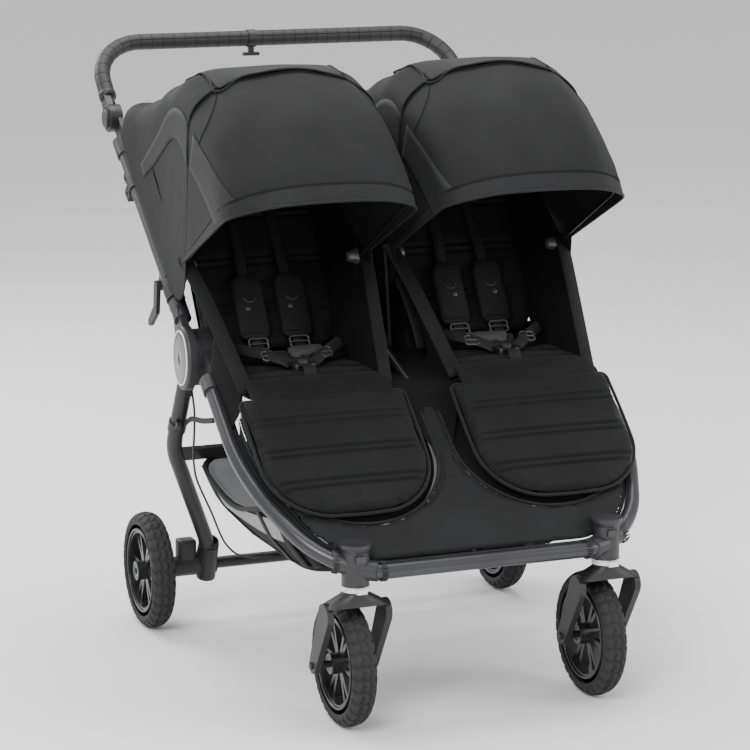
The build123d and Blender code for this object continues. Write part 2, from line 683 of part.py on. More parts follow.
def make_fork():
    """Swivelling fork with its stem and axle; the wheel trails behind the stem."""
    axle_y = SWIVEL_Y + FORK_TRAIL
    stem = Pos(SWIVEL_X, SWIVEL_Y, CROWN_TOP - 2) * Cylinder(STEM_RADIUS, STEM_TOP - CROWN_TOP + 2, align=LOWER)
    foot = Pos(SWIVEL_X, SWIVEL_Y, CROWN_BOTTOM) * RectangleRounded(2 * FORK_ARM[1], 46, 14)
    neck = Pos(SWIVEL_X, SWIVEL_Y, CROWN_TOP - 3) * Circle(22)
    boss = Pos(SWIVEL_X, SWIVEL_Y, CROWN_TOP - 3.5) * Cylinder(22, 3.5, align=LOWER)
    fork = stem + loft([foot, neck]) + boss
    for side in (-1, 1):
        span = sorted((SWIVEL_X + side * FORK_ARM[0], SWIVEL_X + side * FORK_ARM[1]))
        fork += link(span, (SWIVEL_Y, CROWN_BOTTOM - 16), (axle_y, WHEEL_RADIUS), 22, 14)
    axle = disc((SWIVEL_X - FORK_ARM[1] - 4, SWIVEL_X + FORK_ARM[1] + 4), axle_y, WHEEL_RADIUS, AXLE_RADIUS)
    return fork + axle


def make_swivel_lock():
    """White ring between the housing and the fork, with a thumb tab."""
    low = CROWN_TOP + RING_GAP
    ring = Pos(SWIVEL_X, SWIVEL_Y, low) * Cylinder(24, HOUSING_BOTTOM - RING_GAP - low, align=LOWER)
    tab = Pos(SWIVEL_X, SWIVEL_Y - 26, low) * Box(17, 13, HOUSING_BOTTOM - RING_GAP - low, align=LOWER)
    bore = Pos(SWIVEL_X, SWIVEL_Y, low - 1) * Cylinder(STEM_RADIUS + 0.3, 20, align=LOWER)
    return ring + tab - bore


RIM_INNER_RADIUS = 70.0
RIM_HALF_WIDTH = 17.0
SPOKE_PAIRS = 6


def make_tyre():
    section = Pos(0, (WHEEL_RADIUS + TYRE_INNER_RADIUS) / 2) * RectangleRounded(
        TYRE_WIDTH, WHEEL_RADIUS - TYRE_INNER_RADIUS, 13
    )
    return revolve(section, axis=Axis.X)


def make_rim():
    """Wheel centre: barrel, hub and pairs of spokes, with a groove for the brake pin in each end of the hub."""
    barrel = disc((-RIM_HALF_WIDTH, RIM_HALF_WIDTH), 0, 0, TYRE_INNER_RADIUS)
    barrel -= disc((-40, 40), 0, 0, RIM_INNER_RADIUS)
    half = HUB_LENGTH / 2
    rim = barrel + disc((-half, half), 0, 0, HUB_RADIUS)
    for pair in range(SPOKE_PAIRS):
        for lean in (-8, 8):
            spoke = Pos(0, 0) * Rot(0, 0, pair * 360 / SPOKE_PAIRS + lean) * Polygon(
                (12, -4.5), (RIM_INNER_RADIUS + 3, -3.2), (RIM_INNER_RADIUS + 3, 3.2), (12, 4.5), align=None
            )
            rim += side_plate((-9, 9), spoke)
    rim -= disc((-half - 1, half + 1), 0, 0, AXLE_RADIUS + RUNNING_CLEARANCE)
    groove = side_plate((half - 10, half + 1), Circle(BRAKE_PIN_LIFT + 3.6) - Circle(BRAKE_PIN_LIFT - 3.6))
    return rim - groove - mirrored(groove)


# ---------------------------------------------------------------- small parts
def make_buckle():
    shell = Pos(SEAT_X, -172, SEAT_CREASE_Z + BODY_GAP + 8) * Box(46, 38, 16)
    shell = fillet(shell.edges().filter_by(Axis.Z), 9)
    return shell - (Pos(SEAT_X, -172, SEAT_CREASE_Z + 14) * Cylinder(10.4, 10, align=LOWER))


def make_buckle_button():
    return Pos(SEAT_X, -172, SEAT_CREASE_Z + 16.5) * Cylinder(10, 4, align=LOWER)


BRAKE_LEVER_ALONG = 165.0
BRAKE_LEVER_LAYER = (370.3, 377.5)


def brake_pivot():
    return upper_point(BRAKE_LEVER_ALONG, -27)


def make_brake_mount(upper_tube):
    """Clamp on the right upper tube with the pin that the brake lever turns on."""
    low = upper_point(BRAKE_LEVER_ALONG - 14)
    high = upper_point(BRAKE_LEVER_ALONG + 14)
    clamp = rod((UPPER_TUBE_X, *low), (UPPER_TUBE_X, *high), FRAME_TUBE_RADIUS + 3)
    swept = disc((BRAKE_LEVER_LAYER[0] - BODY_GAP, 400), *upper_point(BRAKE_LEVER_ALONG), 60)
    ear = link((358, 370), upper_point(BRAKE_LEVER_ALONG, -8), brake_pivot(), 11, 9)
    pin = disc((369, BRAKE_LEVER_LAYER[1]), *brake_pivot(), 4)
    return mirrored(clamp - swept + ear + pin - upper_tube)


def make_brake_lever():
    """Hand brake lever: a cranked plate on the outside of the right upper tube."""
    y, z = brake_pivot()
    knee = (y + 6, z - 44)
    tip = (y + 40, z - 72)
    lever = link(BRAKE_LEVER_LAYER, (y, z), knee, 9.5, 9) + link(BRAKE_LEVER_LAYER, knee, tip, 9, 7)
    bore = disc((BRAKE_LEVER_LAYER[0] - 1, BRAKE_LEVER_LAYER[1] + 1), y, z, 4 + RUNNING_CLEARANCE)
    return mirrored(lever - bore)


CABLE_RADIUS = 2.0
CABLE_ROUTE = [
    (-346, -22, 497),
    (-347, -42, 462),
    (-347, -38, 418),
    (-342, -14, 372),
    (-327, 20, 325),
    (-302, 52, 283),
    (-274, 88, 238),
    (-250, 124, 196),
    (-226, 158, 158),
    (-196, 180, 128),
    (-158, 194, 114),
    (-104, 208, 111),
]


def make_brake_cable(obstacles):
    """Brake cable along the right rear leg, from the fold hub to the axle tube."""
    corners = range(1, len(CABLE_ROUTE) - 1)
    radii = [arc_radius(*CABLE_ROUTE[i - 1:i + 2]) for i in corners]
    cable = bent_tube(CABLE_ROUTE, radii, CABLE_RADIUS)
    print("brake cable arc radii", [round(r) for r in radii])
    for obstacle in obstacles:
        cable -= obstacle
    return cable


def arc_radius(before, corner, after):
    """Largest arc that 0.45 of the shorter run leaves room for."""
    first = Vector(*corner) - Vector(*before)
    second = Vector(*after) - Vector(*corner)
    turn = radians(first.get_angle(second))
    return 0.45 * min(first.length, second.length) / tan(turn / 2)


FOLD_CATCH_Z = 420.0


def make_fold_catch(rear_leg):
    """Catch clipped round the right rear leg, which holds the frame shut when it is folded."""
    low = leg_point(LEG_LAYER[1] - 1, FOLD_CATCH_Z - 9)
    high = leg_point(LEG_LAYER[1] - 1, FOLD_CATCH_Z + 9)
    clip = rod(low, high, LEG_RADIUS + 2.5)
    x, y, z = leg_point(LEG_LAYER[1] - 1, FOLD_CATCH_Z)
    hook = link((x + 2, x + 10), (y - 8, z - 2), (y - 26, z + 8), 8, 5)
    return mirrored(clip + hook - rear_leg)


# ---------------------------------------------------------------- make and write every node
front_tube = make_front_tube()
save("front_tube", front_tube)
save("front_housings", both_sides(make_front_housing(front_tube)))
save("front_hubs", both_sides(make_front_hub(front_tube)))
centre_tube = make_centre_tube(front_tube)
save("centre_tube", centre_tube)
save_pair("seat_base", make_seat_base())
save("seat_apron", make_seat_apron(front_tube))
save("basket", make_basket())
save("harness_buckles", both_sides(make_buckle()))

upper_tube = make_upper_tube()
save("upper_tubes", both_sides(upper_tube))
hub_cover = make_hub_cover(upper_tube)
save("hub_covers", both_sides(hub_cover))
upper_cross_tube = make_upper_cross_tube(both_sides(upper_tube))
save("upper_cross_tube", upper_cross_tube)
save("upper_centre_tube", make_upper_centre_tube(upper_cross_tube))
save("canopy_mounts", both_sides(make_canopy_mount(upper_tube)))
save("handle_hinges", both_sides(make_handle_hinge(upper_tube, upper_cross_tube)))
save("accessory_brackets", both_sides(make_accessory_bracket(upper_tube)))

rear_leg = make_rear_leg()
save_pair("rear_leg", rear_leg)
save("axle_housings", both_sides(make_axle_housing(rear_leg)))
rear_axle = make_rear_axle()
save("rear_axle", rear_axle)
save("rear_cross_bar", make_rear_cross_bar(both_sides(rear_leg)))
save_pair("brake_pin", make_brake_pin())

save("handlebar_tube", make_handle_tube())
save("handlebar_grip", make_grip())
save("strap_clip", make_strap_clip())
save_pair("handle_button", make_handle_button())

save_pair("canopy_front", make_canopy_front())
save_pair("canopy_rear", make_canopy_rear())
save_pair("canopy_bow", make_canopy_bow())

save_pair("seat_back", make_seat_back())
for name, pads in (("harness_left", make_harness()), ("harness_right", [mirrored(p) for p in make_harness()])):
    save(name, pads)
save_pair("calf_rest", make_calf_rest())
save_pair("buckle_button", make_buckle_button())

save_pair("fork", make_fork())
save_pair("swivel_lock", make_swivel_lock())
save_pair("wheel_release", make_wheel_release())
tyre = make_tyre()
rim = make_rim()
for name, x, y in (("front", SWIVEL_X, SWIVEL_Y + FORK_TRAIL), ("rear", REAR_WHEEL_X, REAR_AXLE_Y)):
    for side, sign in (("left", 1), ("right", -1)):
        save(f"tyre_{name}_{side}", Pos(sign * x, y, WHEEL_RADIUS) * tyre)
        save(f"rim_{name}_{side}", Pos(sign * x, y, WHEEL_RADIUS) * rim)

save("brake_mount", make_brake_mount(upper_tube))
save("brake_lever", make_brake_lever())
save("brake_cable", make_brake_cable([mirrored(rear_leg), rear_axle]))
save("fold_catch", make_fold_catch(rear_leg))
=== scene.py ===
import json
from contextlib import contextmanager
from math import cos, exp, pi, radians, sin, tan

import bmesh
import bpy
from mathutils import Matrix, Vector
from mathutils.bvhtree import BVHTree


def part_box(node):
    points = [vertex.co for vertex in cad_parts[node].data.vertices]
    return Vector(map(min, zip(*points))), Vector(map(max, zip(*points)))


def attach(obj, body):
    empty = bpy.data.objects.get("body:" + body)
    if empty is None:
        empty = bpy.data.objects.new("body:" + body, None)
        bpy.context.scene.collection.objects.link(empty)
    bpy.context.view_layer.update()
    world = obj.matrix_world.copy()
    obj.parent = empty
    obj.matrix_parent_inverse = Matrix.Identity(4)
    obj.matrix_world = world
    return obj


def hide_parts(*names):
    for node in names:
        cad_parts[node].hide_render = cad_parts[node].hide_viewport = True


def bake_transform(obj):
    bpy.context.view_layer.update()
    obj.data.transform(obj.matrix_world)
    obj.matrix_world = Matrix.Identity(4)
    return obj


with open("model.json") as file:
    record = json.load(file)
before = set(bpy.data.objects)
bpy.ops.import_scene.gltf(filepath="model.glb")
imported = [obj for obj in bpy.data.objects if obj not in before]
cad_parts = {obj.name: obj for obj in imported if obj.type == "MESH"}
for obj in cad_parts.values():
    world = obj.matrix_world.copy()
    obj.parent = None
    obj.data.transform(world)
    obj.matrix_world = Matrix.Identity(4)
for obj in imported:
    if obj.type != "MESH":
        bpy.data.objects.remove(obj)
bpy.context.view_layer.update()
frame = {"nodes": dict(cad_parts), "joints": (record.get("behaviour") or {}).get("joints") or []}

# Lengths below are in metres, in the row frame: -Y is the front, +X the pusher's left.
JOINTS = {j["name"]: j for j in frame["joints"]}
FOLD = Vector(JOINTS["fold"]["pos_m"])
KNOB = Vector(JOINTS["canopy_left"]["pos_m"])
CREASE = Vector(JOINTS["recline_left"]["pos_m"])
CALF = Vector(JOINTS["calf_rest_left"]["pos_m"])
HINGE = Vector(JOINTS["handle_tilt"]["pos_m"])
SIDES = (("left", 1), ("right", -1))
FACES = ((-1, "in"), (1, "out"))
X_AXIS = Vector((1, 0, 0))
SCENE = bpy.context.scene


def middle_of(node):
    """Centre of a CAD node's box."""
    low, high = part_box(node)
    return (Vector(low) + Vector(high)) / 2


def mirrored(point, sign):
    """A point of the left side, or with sign -1 its mirror image on the right."""
    return Vector((sign * point.x, point.y, point.z))


def turns(count):
    """Angles evenly spaced round a circle."""
    return [2 * pi * k / count for k in range(count)]


# ---------------------------------------------------------------- materials
def shader(name, colour, roughness, metallic=0.0, sheen=0.0, coat=0.0, specular=0.5):
    material = bpy.data.materials.new(name)
    material.use_nodes = True
    bsdf = material.node_tree.nodes["Principled BSDF"]
    bsdf.inputs["Base Color"].default_value = (*colour, 1)
    bsdf.inputs["Roughness"].default_value = roughness
    bsdf.inputs["Metallic"].default_value = metallic
    bsdf.inputs["Specular IOR Level"].default_value = specular
    bsdf.inputs["Sheen Weight"].default_value = sheen
    bsdf.inputs["Sheen Roughness"].default_value = 0.45
    bsdf.inputs["Coat Weight"].default_value = coat
    bsdf.inputs["Coat Roughness"].default_value = 0.25
    return material, material.node_tree, bsdf


def texture(tree, kind, **inputs):
    """Texture node in the piece's own coordinates."""
    node = tree.nodes.new(kind)
    for key, value in inputs.items():
        node.inputs[key.replace("_", " ")].default_value = value
    coords = tree.nodes.new("ShaderNodeTexCoord")
    tree.links.new(coords.outputs["Object"], node.inputs["Vector"])
    return node


def tint(tree, bsdf, source, dark, light, low=0.35, high=0.65):
    ramp = tree.nodes.new("ShaderNodeValToRGB")
    ramp.color_ramp.elements[0].position = low
    ramp.color_ramp.elements[0].color = (*dark, 1)
    ramp.color_ramp.elements[1].position = high
    ramp.color_ramp.elements[1].color = (*light, 1)
    tree.links.new(source, ramp.inputs["Fac"])
    tree.links.new(ramp.outputs["Color"], bsdf.inputs["Base Color"])


def relief(tree, bsdf, heights, strength, distance):
    """Adds up height sources, each with its weight, into one bump."""
    total = None
    for source, weight in heights:
        scaled = tree.nodes.new("ShaderNodeMath")
        scaled.operation = "MULTIPLY"
        scaled.inputs[1].default_value = weight
        tree.links.new(source, scaled.inputs[0])
        if total is not None:
            added = tree.nodes.new("ShaderNodeMath")
            added.operation = "ADD"
            tree.links.new(total, added.inputs[0])
            tree.links.new(scaled.outputs[0], added.inputs[1])
            scaled = added
        total = scaled.outputs[0]
    bump = tree.nodes.new("ShaderNodeBump")
    bump.inputs["Strength"].default_value = strength
    bump.inputs["Distance"].default_value = distance
    tree.links.new(total, bump.inputs["Height"])
    tree.links.new(bump.outputs["Normal"], bsdf.inputs["Normal"])


def scaled_colour(colour, factor):
    return tuple(min(1.0, c * factor) for c in colour)


def cloth_material(name, colour, thread=0.0011, roughness=0.8, sheen=0.25, creases=0.5):
    """Woven cloth: crossed threads, a soft mottle and shallow creases."""
    material, tree, bsdf = shader(name, colour, roughness, sheen=sheen, specular=0.16)
    weave = []
    for direction in ("X", "Y", "Z"):
        wave = texture(tree, "ShaderNodeTexWave", Scale=0.314 / thread, Distortion=0.6)
        wave.wave_type = "BANDS"
        wave.bands_direction = direction
        weave.append((wave.outputs["Fac"], 0.3))
    mottle = texture(tree, "ShaderNodeTexNoise", Scale=14.0, Detail=5.0)
    fibre = texture(tree, "ShaderNodeTexNoise", Scale=900.0, Detail=2.0)
    soft = texture(tree, "ShaderNodeTexNoise", Scale=9.0, Detail=3.0, Distortion=0.8)
    tint(tree, bsdf, mottle.outputs["Fac"], scaled_colour(colour, 0.86), scaled_colour(colour, 1.14))
    heights = weave + [(fibre.outputs["Fac"], 0.5), (soft.outputs["Fac"], creases * 12)]
    relief(tree, bsdf, heights, 0.55, 0.0006)
    return material


def webbing_material(name, colour):
    material, tree, bsdf = shader(name, colour, 0.62, sheen=0.03, specular=0.25)
    rib = texture(tree, "ShaderNodeTexWave", Scale=150.0, Distortion=0.3)
    rib.bands_direction = "DIAGONAL"
    grain = texture(tree, "ShaderNodeTexNoise", Scale=500.0)
    tint(tree, bsdf, grain.outputs["Fac"], scaled_colour(colour, 0.8), scaled_colour(colour, 1.3))
    relief(tree, bsdf, [(rib.outputs["Fac"], 1.0), (grain.outputs["Fac"], 0.4)], 0.6, 0.0006)
    return material


def plastic_material(name, colour, roughness=0.45, grain=0.35, coat=0.0):
    """Moulded plastic: fine spark-eroded grain and faint handling marks."""
    material, tree, bsdf = shader(name, colour, roughness, coat=coat)
    pits = texture(tree, "ShaderNodeTexVoronoi", Scale=1400.0)
    marks = texture(tree, "ShaderNodeTexNoise", Scale=22.0, Detail=6.0)
    tint(tree, bsdf, marks.outputs["Fac"], scaled_colour(colour, 0.88), scaled_colour(colour, 1.12))
    spread = tree.nodes.new("ShaderNodeMapRange")
    spread.inputs["To Min"].default_value = roughness - 0.06
    spread.inputs["To Max"].default_value = roughness + 0.08
    tree.links.new(marks.outputs["Fac"], spread.inputs["Value"])
    tree.links.new(spread.outputs["Result"], bsdf.inputs["Roughness"])
    relief(tree, bsdf, [(pits.outputs["Distance"], 1.0)], grain, 0.0003)
    return material


def coated_metal(name, colour, roughness=0.38):
    """Powder-coated tube: fine orange peel over metal."""
    material, tree, bsdf = shader(name, colour, roughness, metallic=0.35, coat=0.15)
    peel = texture(tree, "ShaderNodeTexNoise", Scale=700.0, Detail=3.0)
    cloud = texture(tree, "ShaderNodeTexNoise", Scale=12.0, Detail=4.0)
    tint(tree, bsdf, cloud.outputs["Fac"], scaled_colour(colour, 0.92), scaled_colour(colour, 1.1))
    relief(tree, bsdf, [(peel.outputs["Fac"], 1.0)], 0.22, 0.0004)
    return material


def rubber_material(name, colour, roughness=0.75):
    material, tree, bsdf = shader(name, colour, roughness)
    grain = texture(tree, "ShaderNodeTexNoise", Scale=420.0, Detail=4.0)
    dust = texture(tree, "ShaderNodeTexNoise", Scale=30.0, Detail=6.0)
    tint(tree, bsdf, dust.outputs["Fac"], scaled_colour(colour, 0.85), scaled_colour(colour, 1.25))
    relief(tree, bsdf, [(grain.outputs["Fac"], 1.0)], 0.35, 0.0004)
    return material


def netting_material(name, colour):
    """Fine knitted net: pale yarn round small dark holes."""
    material, tree, bsdf = shader(name, colour, 0.8, sheen=0.1)
    holes = texture(tree, "ShaderNodeTexVoronoi", Scale=330.0)
    tint(tree, bsdf, holes.outputs["Distance"], scaled_colour(colour, 0.3), colour, 0.12, 0.42)
    relief(tree, bsdf, [(holes.outputs["Distance"], 1.0)], 0.8, 0.001)
    return material


CANOPY_CLOTH = cloth_material("canopy_cloth", (0.0098, 0.0100, 0.0106), roughness=0.66, sheen=0.025,
                              creases=0.35)
BAND_CLOTH = cloth_material("band_cloth", (0.0125, 0.0127, 0.0135), thread=0.0014, roughness=0.58,
                            sheen=0.03, creases=0.2)
SIDE_CLOTH = cloth_material("side_cloth", (0.0095, 0.0097, 0.0103), roughness=0.7, sheen=0.025, creases=0.9)
SEAT_CLOTH = cloth_material("seat_cloth", (0.0085, 0.0086, 0.0092), thread=0.0012, roughness=0.72,
                            sheen=0.03, creases=0.25)
# Charcoal lining cloth, kept at about half the seat cloth's colour as painted shade: it goes on the seat's
# creases, the gaps between the seats, their inner side walls and the skirts under the leg pads.
SHADED_LINING_CLOTH = cloth_material("shaded_lining_cloth", (0.0045, 0.0045, 0.005), roughness=0.9, sheen=0.01, creases=0.6)
PAD_CLOTH = cloth_material("pad_cloth", (0.008, 0.008, 0.0088), thread=0.0009, roughness=0.6, sheen=0.03,
                           creases=0.8)
APRON_CLOTH = cloth_material("apron_cloth", (0.0105, 0.0107, 0.0114), roughness=0.62, sheen=0.03, creases=0.2)
BASKET_CLOTH = cloth_material("basket_cloth", (0.0095, 0.0097, 0.0104), roughness=0.75, sheen=0.03,
                              creases=1.0)
BASKET_LINING = cloth_material("basket_lining", (0.38, 0.38, 0.39), roughness=0.85, sheen=0.1, creases=0.8)
BASKET_NET = netting_material("basket_net", (0.30, 0.30, 0.31))
SATIN = cloth_material("satin", (0.035, 0.035, 0.037), thread=0.0006, roughness=0.36, sheen=0.03, creases=0.2)
WEBBING = webbing_material("webbing", (0.009, 0.009, 0.0098))
PIPING = cloth_material("piping", (0.010, 0.010, 0.011), thread=0.0008, roughness=0.8, sheen=0.1, creases=0.0)
THREAD = cloth_material("thread", (0.012, 0.012, 0.013), thread=0.0005, roughness=0.85, sheen=0.0,
                        creases=0.0)
FRAME_METAL = coated_metal("frame_metal", (0.038, 0.038, 0.041), roughness=0.33)
DARK_METAL = coated_metal("dark_metal", (0.018, 0.018, 0.019), roughness=0.42)
HARD_PLASTIC = plastic_material("hard_plastic", (0.0115, 0.0115, 0.0125))
GREY_PLASTIC = plastic_material("grey_plastic", (0.022, 0.022, 0.024), roughness=0.4)
BUTTON_PLASTIC = plastic_material("button_plastic", (0.035, 0.035, 0.037), roughness=0.35, grain=0.15)
WHITE_PLASTIC = plastic_material("white_plastic", (0.72, 0.72, 0.70), roughness=0.4, grain=0.15)
RIM_PLASTIC = plastic_material("rim_plastic", (0.013, 0.013, 0.014), roughness=0.32, grain=0.15, coat=0.2)
GLOSS_PLASTIC = plastic_material("gloss_plastic", (0.010, 0.010, 0.011), roughness=0.22, grain=0.05, coat=0.5)
GRIP = rubber_material("grip_foam", (0.012, 0.012, 0.0128), roughness=0.55)
TYRE = rubber_material("tyre_rubber", (0.0105, 0.0105, 0.0112))
SHEATH = rubber_material("cable_sheath", (0.012, 0.012, 0.013), roughness=0.5)
STEEL = coated_metal("pin_steel", (0.45, 0.45, 0.47), roughness=0.3)
KNOB_METAL = coated_metal("knob_metal", (0.10, 0.10, 0.105), roughness=0.28)


# ---------------------------------------------------------------- mesh helpers
def linked(name, data):
    """New object in the scene for a mesh, curve, lamp or camera."""
    obj = bpy.data.objects.new(name, data)
    SCENE.collection.objects.link(obj)
    return obj


@contextmanager
def mesh_edit(obj):
    """Opens a piece's mesh for changes, and turns its faces outward as it closes."""
    work = bmesh.new()
    work.from_mesh(obj.data)
    yield work
    bmesh.ops.recalc_face_normals(work, faces=work.faces)
    work.to_mesh(obj.data)
    work.free()


def smooth_faces(obj):
    for polygon in obj.data.polygons:
        polygon.use_smooth = True


def mesh_object(name, verts, faces):
    mesh = bpy.data.meshes.new(name)
    mesh.from_pydata([tuple(v) for v in verts], [], faces)
    mesh.validate()
    obj = linked(name, mesh)
    with mesh_edit(obj) as work:
        for face in work.faces:
            face.smooth = True
    return obj


def bake(obj):
    """Replaces a piece's mesh by what its modifiers make of it."""
    bpy.context.view_layer.update()
    evaluated = obj.evaluated_get(bpy.context.evaluated_depsgraph_get())
    mesh = bpy.data.meshes.new_from_object(evaluated)
    if obj.type == "MESH":
        obj.modifiers.clear()
        old, obj.data = obj.data, mesh
        mesh.name = obj.name
        bpy.data.meshes.remove(old)
        return obj
    name = obj.name
    bpy.data.objects.remove(obj)
    result = linked(name, mesh)
    mesh.name = name
    smooth_faces(result)
    return result


def thicken(obj, thickness, levels=0, offset=0.0):
    solid = obj.modifiers.new("thick", "SOLIDIFY")
    solid.thickness = thickness
    solid.offset = offset
    if levels:
        obj.modifiers.new("sub", "SUBSURF").levels = levels
    bake(obj)
    smooth_faces(obj)
    return obj


def grid(name, rows, closed=False):
    """Mesh from rows of points, all of one length."""
    count = len(rows[0])
    verts = [p for row in rows for p in row]
    faces = []
    for r in range(len(rows) - 1):
        for c in range(count if closed else count - 1):
            a = r * count + c
            b = r * count + (c + 1) % count
            faces.append((a, b, b + count, a + count))
    return mesh_object(name, verts, faces)


def cloth_sheet(name, rows, thickness=0.0022, levels=1, closed=False):
    return thicken(grid(name, rows, closed), thickness, levels)


def curve_through(name, points, radius, cyclic=False, sides=3):
    """Round cord or bar on a smooth curve through points."""
    data = bpy.data.curves.new(name, "CURVE")
    data.dimensions = "3D"
    data.bevel_depth = radius
    data.bevel_resolution = sides
    data.resolution_u = 6
    data.use_fill_caps = True
    spline = data.splines.new("BEZIER")
    spline.bezier_points.add(len(points) - 1)
    for point, co in zip(spline.bezier_points, points):
        point.co = co
        point.handle_left_type = point.handle_right_type = "AUTO"
    spline.use_cyclic_u = cyclic
    return bake(linked(name, data))


def smooth_line(points, steps):
    """Points on a Catmull-Rom curve through the given points."""
    padded_points = [points[0] * 2 - points[1]] + list(points) + [points[-1] * 2 - points[-2]]
    line = []
    for i in range(len(points) - 1):
        a, b, c, d = padded_points[i:i + 4]
        for k in range(steps):
            t = k / steps
            line.append(0.5 * (2 * b + (c - a) * t + (2 * a - 5 * b + 4 * c - d) * t * t
                               + (3 * b - a - 3 * c + d) * t ** 3))
    return line + [points[-1]]


def strap(name, points, width, across, thickness=0.0016, steps=5):
    """Flat webbing along points; its width runs along the across vector at each place."""
    line = smooth_line([Vector(p) for p in points], steps)
    across = Vector(across).normalized()
    rows = []
    for i, p in enumerate(line):
        along = (line[min(i + 1, len(line) - 1)] - line[max(i - 1, 0)]).normalized()
        side = (across - along * across.dot(along)).normalized() * width / 2
        up = along.cross(side).normalized() * thickness / 2
        rows.append([p - side, p - side * 0.92 + up, p + side * 0.92 + up, p + side,
                     p + side * 0.92 - up, p - side * 0.92 - up])
    obj = grid(name, rows, closed=True)
    with mesh_edit(obj) as work:
        bmesh.ops.holes_fill(work, edges=work.edges, sides=0)
    return obj


def rounded_corners(points, radii, steps=7):
    """Open flat path with an arc at each inner corner."""
    path = [Vector(points[0])]
    for i in range(1, len(points) - 1):
        before, corner, after = (Vector(p) for p in points[i - 1:i + 2])
        into = (before - corner).normalized()
        out = (after - corner).normalized()
        half = into.angle(out) / 2
        reach = radii[i - 1] / tan(half)
        centre = corner + (into + out).normalized() * radii[i - 1] / sin(half)
        start = corner + into * reach - centre
        end = corner + out * reach - centre
        sweep = start.angle(end)
        if sweep < 0.001:
            path.append(corner)
            continue
        for k in range(steps + 1):
            t = k / steps
            leaving = start * (sin((1 - t) * sweep) / sin(sweep))
            arriving = end * (sin(t * sweep) / sin(sweep))
            path.append(centre + leaving + arriving)
    return path + [Vector(points[-1])]


def evenly(path, count):
    """count points evenly spaced along a path of points."""
    lengths = [0.0]
    for a, b in zip(path, path[1:]):
        lengths.append(lengths[-1] + (b - a).length)
    result = []
    j = 0
    for i in range(count):
        target = lengths[-1] * i / (count - 1)
        while j < len(path) - 2 and lengths[j + 1] < target:
            j += 1
        span = lengths[j + 1] - lengths[j] or 1.0
        result.append(path[j].lerp(path[j + 1], min(1.0, (target - lengths[j]) / span)))
    return result


def surface_tree(obj):
    work = bmesh.new()
    work.from_mesh(obj.data)
    tree = BVHTree.FromBMesh(work)
    work.free()
    return tree


def onto(tree, points, direction, lift):
    """Drops points along a direction onto a surface and lifts them off it again."""
    direction = Vector(direction).normalized()
    landed = []
    for p in points:
        hit, normal, _, _ = tree.ray_cast(Vector(p) - direction * 0.3, direction)
        if hit is None:
            hit, normal, _, _ = tree.find_nearest(Vector(p))
        if normal.dot(direction) > 0:
            normal = -normal
        landed.append(hit + normal * lift)
    return landed


def dress(obj, body, material, slot, *nodes):
    """Gives a piece its material and its body, and hides the CAD nodes it stands for; the slot argument is
    not used.
    """
    obj.data.materials.clear()
    obj.data.materials.append(material)
    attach(obj, body)
    if nodes:
        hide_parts(*nodes)
    return obj


def reflected(obj, name):
    """The same mesh on the other side of the stroller."""
    other = linked(name, obj.data.copy())
    other.data.name = name
    other.data.transform(Matrix.Scale(-1, 4, X_AXIS))
    other.data.flip_normals()
    return other


def merged(name, objects):
    """One object from several that need no joint between them."""
    work = bmesh.new()
    for obj in objects:
        work.from_mesh(obj.data)
    mesh = bpy.data.meshes.new(name)
    work.to_mesh(mesh)
    work.free()
    for obj in objects:
        bpy.data.objects.remove(obj)
    return linked(name, mesh)


def lathe(name, centre, axis, profile, count=40):
    """Turned piece: profile is (distance along the axis, radius) pairs."""
    axis = Vector(axis).normalized()
    side = axis.orthogonal().normalized()
    other = axis.cross(side)
    rows = []
    for along, radius in profile:
        middle = Vector(centre) + axis * along
        rows.append([middle + (side * cos(a) + other * sin(a)) * radius for a in turns(count)])
    return grid(name, rows, closed=True)


def block(name, centre, size, bevel):
    """Box-like moulding with rounded edges."""
    work = bmesh.new()
    bmesh.ops.create_cube(work, size=1.0)
    bmesh.ops.scale(work, vec=size, verts=work.verts)
    bmesh.ops.bevel(work, geom=work.edges[:], offset=bevel, segments=3, profile=0.6, affect="EDGES")
    bmesh.ops.translate(work, vec=centre, verts=work.verts)
    mesh = bpy.data.meshes.new(name)
    work.to_mesh(mesh)
    work.free()
    obj = linked(name, mesh)
    smooth_faces(obj)
    return obj


# ---------------------------------------------------------------- padded pieces
def puffed(obj, cap, normal, pressure=4.0, last_frame=20):
    """Swells a closed pad with a cloth simulation; its sewn edge holds, and no point moves more than cap."""
    rest = [v.co.copy() for v in obj.data.vertices]
    cloth = obj.modifiers.new("Cloth", "CLOTH")
    cloth.settings.quality = 4
    cloth.settings.mass = 0.3
    cloth.settings.use_pressure = True
    cloth.settings.uniform_pressure_force = pressure
    cloth.settings.effector_weights.gravity = 0.0
    cloth.point_cache.frame_start = 1
    cloth.point_cache.frame_end = last_frame
    for number in range(1, last_frame + 1):
        SCENE.frame_set(number)
    evaluated = obj.evaluated_get(bpy.context.evaluated_depsgraph_get())
    swollen = [v.co.copy() for v in evaluated.data.vertices]
    obj.modifiers.remove(cloth)
    SCENE.frame_set(1)
    for vertex, start, end in zip(obj.data.vertices, rest, swollen):
        move = end - start
        out_of_plane = normal * move.dot(normal)
        move = out_of_plane + (move - out_of_plane) * 0.15
        if move.length > cap:
            move *= cap / move.length
        vertex.co = start + move


